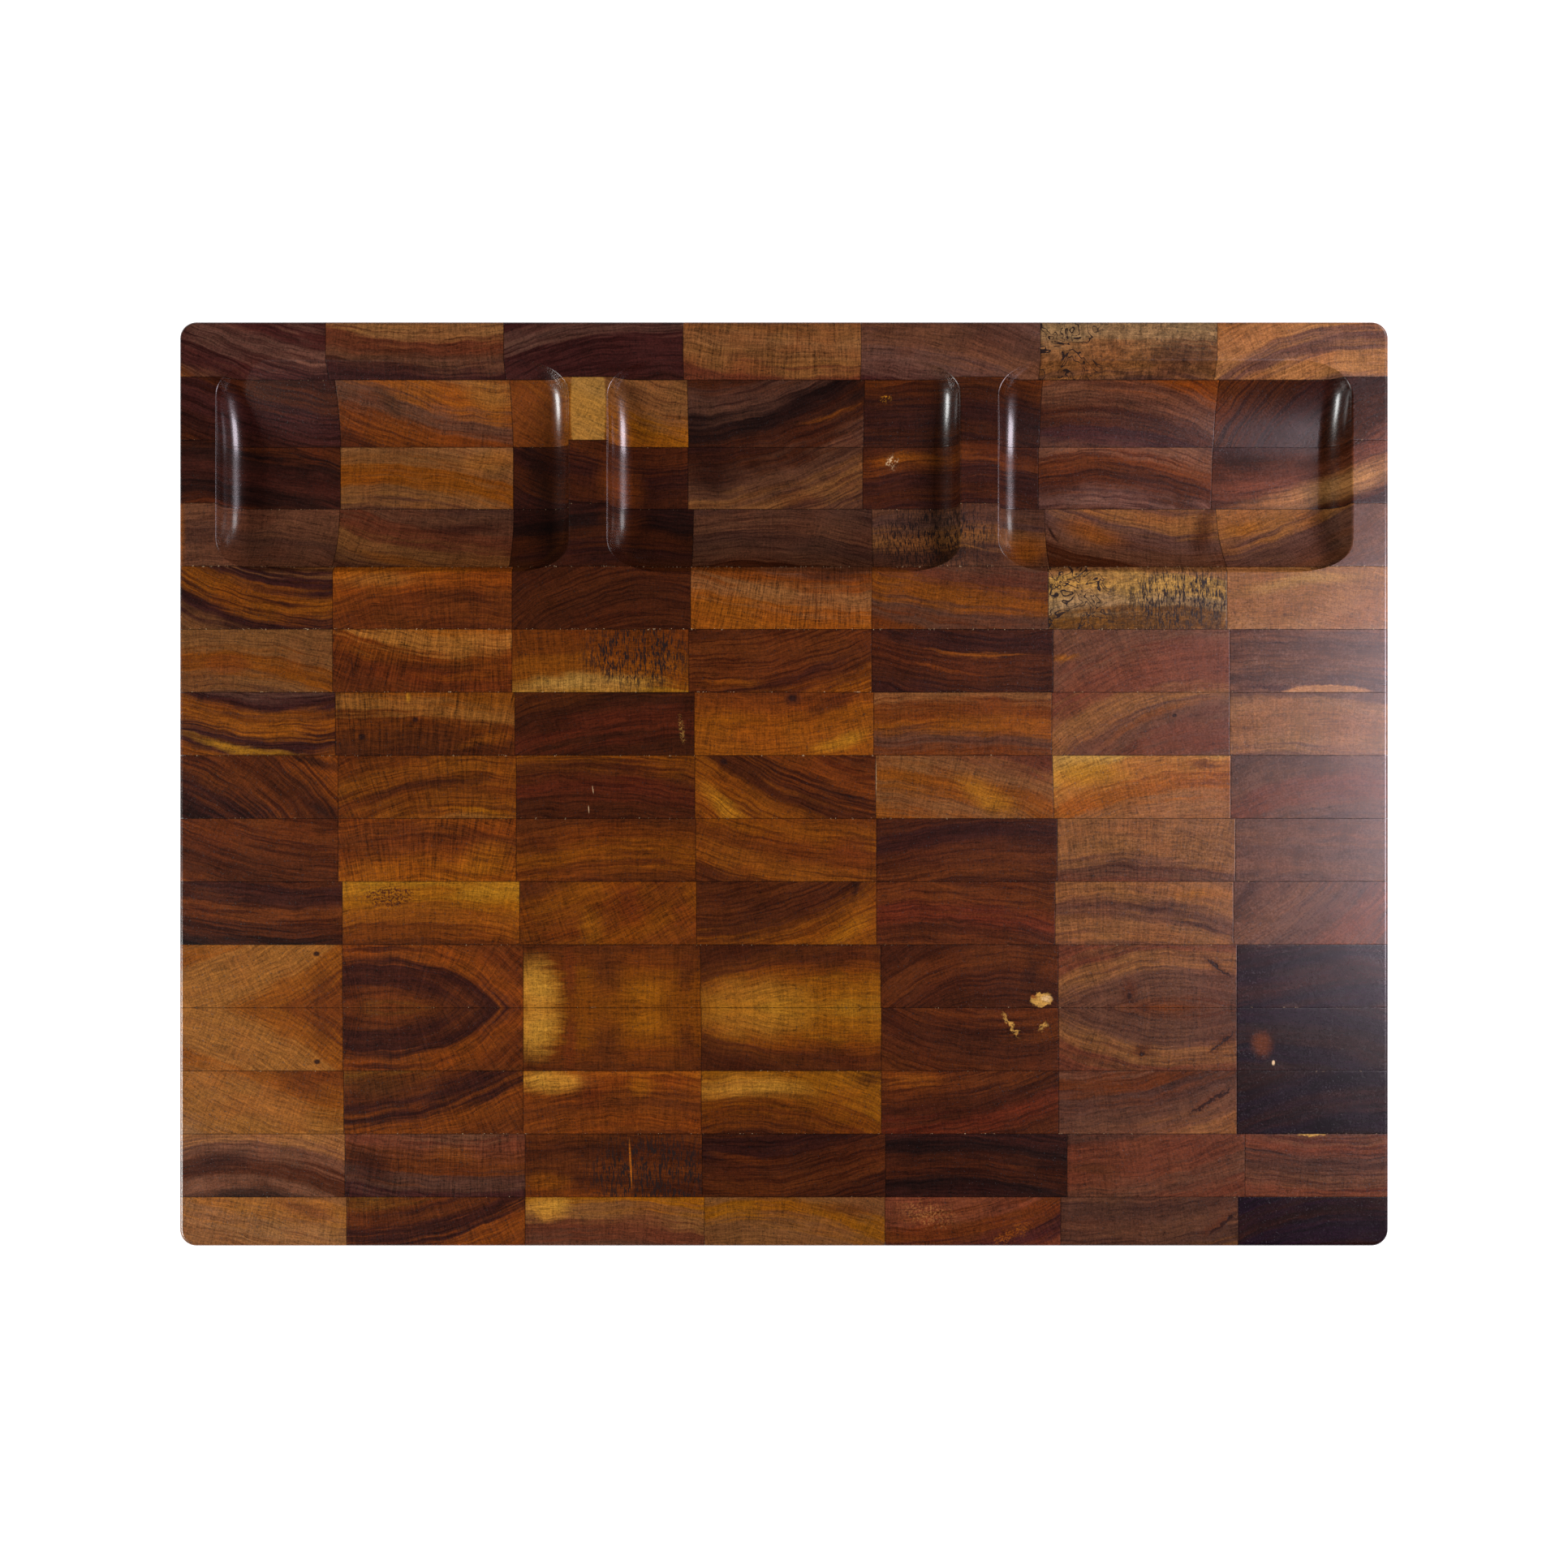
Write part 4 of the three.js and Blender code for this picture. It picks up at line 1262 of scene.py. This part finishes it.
def arc_points(centre, radius, start, end, steps):
    """(radius, height) points on an arc between two angles in degrees."""
    points = []
    for step in range(steps + 1):
        angle = math.radians(start + (end - start) * step / steps)
        points.append((centre[0] + radius * math.cos(angle), centre[1] + radius * math.sin(angle)))
    return points


def foot_mesh(name):
    """A tapered moulded foot with a pocket for the washer and the head of the screw."""
    profile = [
        *arc_points((6.0, 0.4), 0.4, 180, 270, 4),
        *arc_points((7.8, 1.2), 1.2, -90, -10, 8),
        *arc_points((10.4, 7.35), 0.6, -10, 90, 6),
        (2.5, FOOT_TOP),
        (2.5, POCKET_TOP),
        (5.6, POCKET_TOP),
    ]
    return turned(name, profile, capped=False)


def washer_mesh(name):
    edge = 0.15
    low, high = WASHER_BOTTOM, WASHER_TOP
    inner, outer = 2.3, 5.3
    profile = [
        (inner, low + edge), (inner + edge, low), (outer - edge, low), (outer, low + edge),
        (outer, high - edge), (outer - edge, high), (inner + edge, high), (inner, high - edge),
    ]
    return turned(name, profile, capped=False)


def screw_body(name):
    """A pan head, a plain neck and a helical thread that fades out at the tip."""
    rings = []
    head = [(0.05, SCREW_HEAD_BOTTOM)]
    rounding = SCREW_HEAD_ROUNDING
    head += arc_points((2.6, SCREW_HEAD_BOTTOM + rounding), rounding, -90, 0, 8)
    head += [
        (3.9, SCREW_HEAD_TOP),
        (SCREW_NECK_RADIUS, SCREW_HEAD_TOP),
        (SCREW_NECK_RADIUS, SCREW_NECK_TOP),
    ]
    for radius, height in head:
        rings.append(screw_ring(lambda angle, r=radius: r, height))
    rows = int((SCREW_TIP - THREAD_START) / THREAD_PITCH * ROWS_PER_TURN)
    for row in range(rows + 1):
        height = THREAD_START + (SCREW_TIP - THREAD_START) * row / rows
        rings.append(screw_ring(lambda angle, z=height: thread_radius(angle, z), height))
    return loft(name, rings)


def screw_ring(radius_at, height):
    ring = []
    for step in range(ROUND_STEPS // 2):
        angle = 4 * math.pi * step / ROUND_STEPS
        radius = radius_at(angle)
        ring.append((radius * math.cos(angle), radius * math.sin(angle), height))
    return ring


def thread_radius(angle, height):
    phase = (height / THREAD_PITCH - angle / (2 * math.pi)) % 1
    crest = max(0.0, 1 - abs(phase - 0.5) / 0.35)
    taper = min(1.0, (SCREW_TIP - height) / TIP_LENGTH)
    return TIP_RADIUS + (THREAD_CORE + THREAD_HEIGHT * crest) * max(0.02, taper)


def screw_mesh(name):
    screw = screw_body(name)
    for across in (False, True):
        slot = loft("slot", [
            slot_ring(0.32, 1.4, SCREW_HEAD_BOTTOM + 1.3, across),
            slot_ring(0.5, 2.4, SCREW_HEAD_BOTTOM - 0.5, across),
        ])
        combined(screw, slot, "DIFFERENCE")
        discard(slot)
    return screw


def slot_ring(half_width, half_length, height, across):
    x, y = (half_width, half_length) if across else (half_length, half_width)
    return [(-x, -y, height), (x, -y, height), (x, y, height), (-x, y, height)]


def add_feet():
    rubber = rubber_material()
    steel = steel_material()
    kinds = (
        ("rubber_foot", foot_mesh, rubber, "foot_rubber"),
        ("steel_washer", washer_mesh, steel, "stainless_steel"),
        ("foot_screw", screw_mesh, steel, "stainless_steel"),
    )
    for spot, (x, y) in FOOT_SPOTS.items():
        for kind, build, material, slot in kinds:
            piece = build(f"{kind}_{spot}_fine")
            piece.data.transform(Matrix.Translation((x, y, 0)))
            finish_surface(piece)
            piece.data.materials.clear()
            piece.data.materials.append(material)
            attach(piece, "root")
            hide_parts(f"{kind}_{spot}")


# ---------------------------------------------------------------- studio


def add_floor():
    half = FLOOR_HALF
    corners = [(-half, -half, 0), (half, -half, 0), (half, half, 0), (-half, half, 0)]
    floor = mesh_object("floor", corners, [(0, 1, 2, 3)])
    g = Graph("pale_floor")
    mottle = g.noise(g.position(), 0.004, 2.0, 0.5)
    g.set(Base_Color=g.mix(mottle, (0.86, 0.86, 0.86), (0.88, 0.88, 0.88)))
    g.set(Roughness=0.9, Specular_IOR_Level=0.0)
    g.set(Emission_Color=(1.0, 1.0, 1.0, 1.0), Emission_Strength=0.8)
    floor.data.materials.append(g.material)


def add_softbox(name, place, size, watts, tint):
    """A light of this width and length, its length along Y, aimed at the middle of the board."""
    light = bpy.data.lights.new(name, "AREA")
    light.color = tint
    light.shape = "RECTANGLE"
    light.size, light.size_y = size
    light.energy = watts
    item = bpy.data.objects.new(name, light)
    item.location = place
    away = Vector((place[0], 0, place[2])).normalized()
    along = Vector((0, 1, 0))
    item.rotation_euler = Matrix((along.cross(away), along, away)).transposed().to_euler()
    item.visible_camera = False
    bpy.context.scene.collection.objects.link(item)


def add_studio():
    add_floor()
    add_softbox("right_softbox", (0.73, 0.02, 0.69), (0.42, 0.35), 8.0, (0.98, 0.88, 1.0))
    add_softbox("back_right_fill", (1.15, 0.80, 0.80), (0.50, 0.50), 4.9, (0.98, 0.97, 1.0))
    add_softbox("left_softbox", (-1.10, -0.45, 0.69), (0.36, 0.55), 13.9, (0.98, 0.99, 0.98))
    add_world()
    add_camera()


def add_world():
    """Nearly dark surroundings, which the camera itself sees as white."""
    world = bpy.data.worlds.new("studio")
    bpy.context.scene.world = world
    world.use_nodes = True
    nodes = world.node_tree.nodes
    links = world.node_tree.links
    around = nodes["Background"]
    around.inputs["Color"].default_value = (1, 1, 1, 1)
    around.inputs["Strength"].default_value = SURROUNDINGS
    seen = nodes.new("ShaderNodeBackground")
    seen.inputs["Color"].default_value = (1, 1, 1, 1)
    seen.inputs["Strength"].default_value = 1.0
    path = nodes.new("ShaderNodeLightPath")
    mixed = nodes.new("ShaderNodeMixShader")
    links.new(path.outputs["Is Camera Ray"], mixed.inputs[0])
    links.new(around.outputs[0], mixed.inputs[1])
    links.new(seen.outputs[0], mixed.inputs[2])
    links.new(mixed.outputs[0], nodes["World Output"].inputs["Surface"])


def add_camera():
    camera = bpy.data.cameras.new("camera")
    camera.sensor_width = SENSOR
    distance = CAMERA_HEIGHT - BOARD_TOP * MM
    camera.lens = SENSOR * distance / FRAME_WIDTH_AT_TOP
    camera.clip_start = 0.01
    item = bpy.data.objects.new("camera", camera)
    item.location = (0, 0, CAMERA_HEIGHT)
    bpy.context.scene.collection.objects.link(item)
    bpy.context.scene.camera = item
    bpy.context.scene.view_settings.view_transform = "Standard"


board = whole_board()
saw_blocks(board)
discard(board)
add_feet()
add_studio()
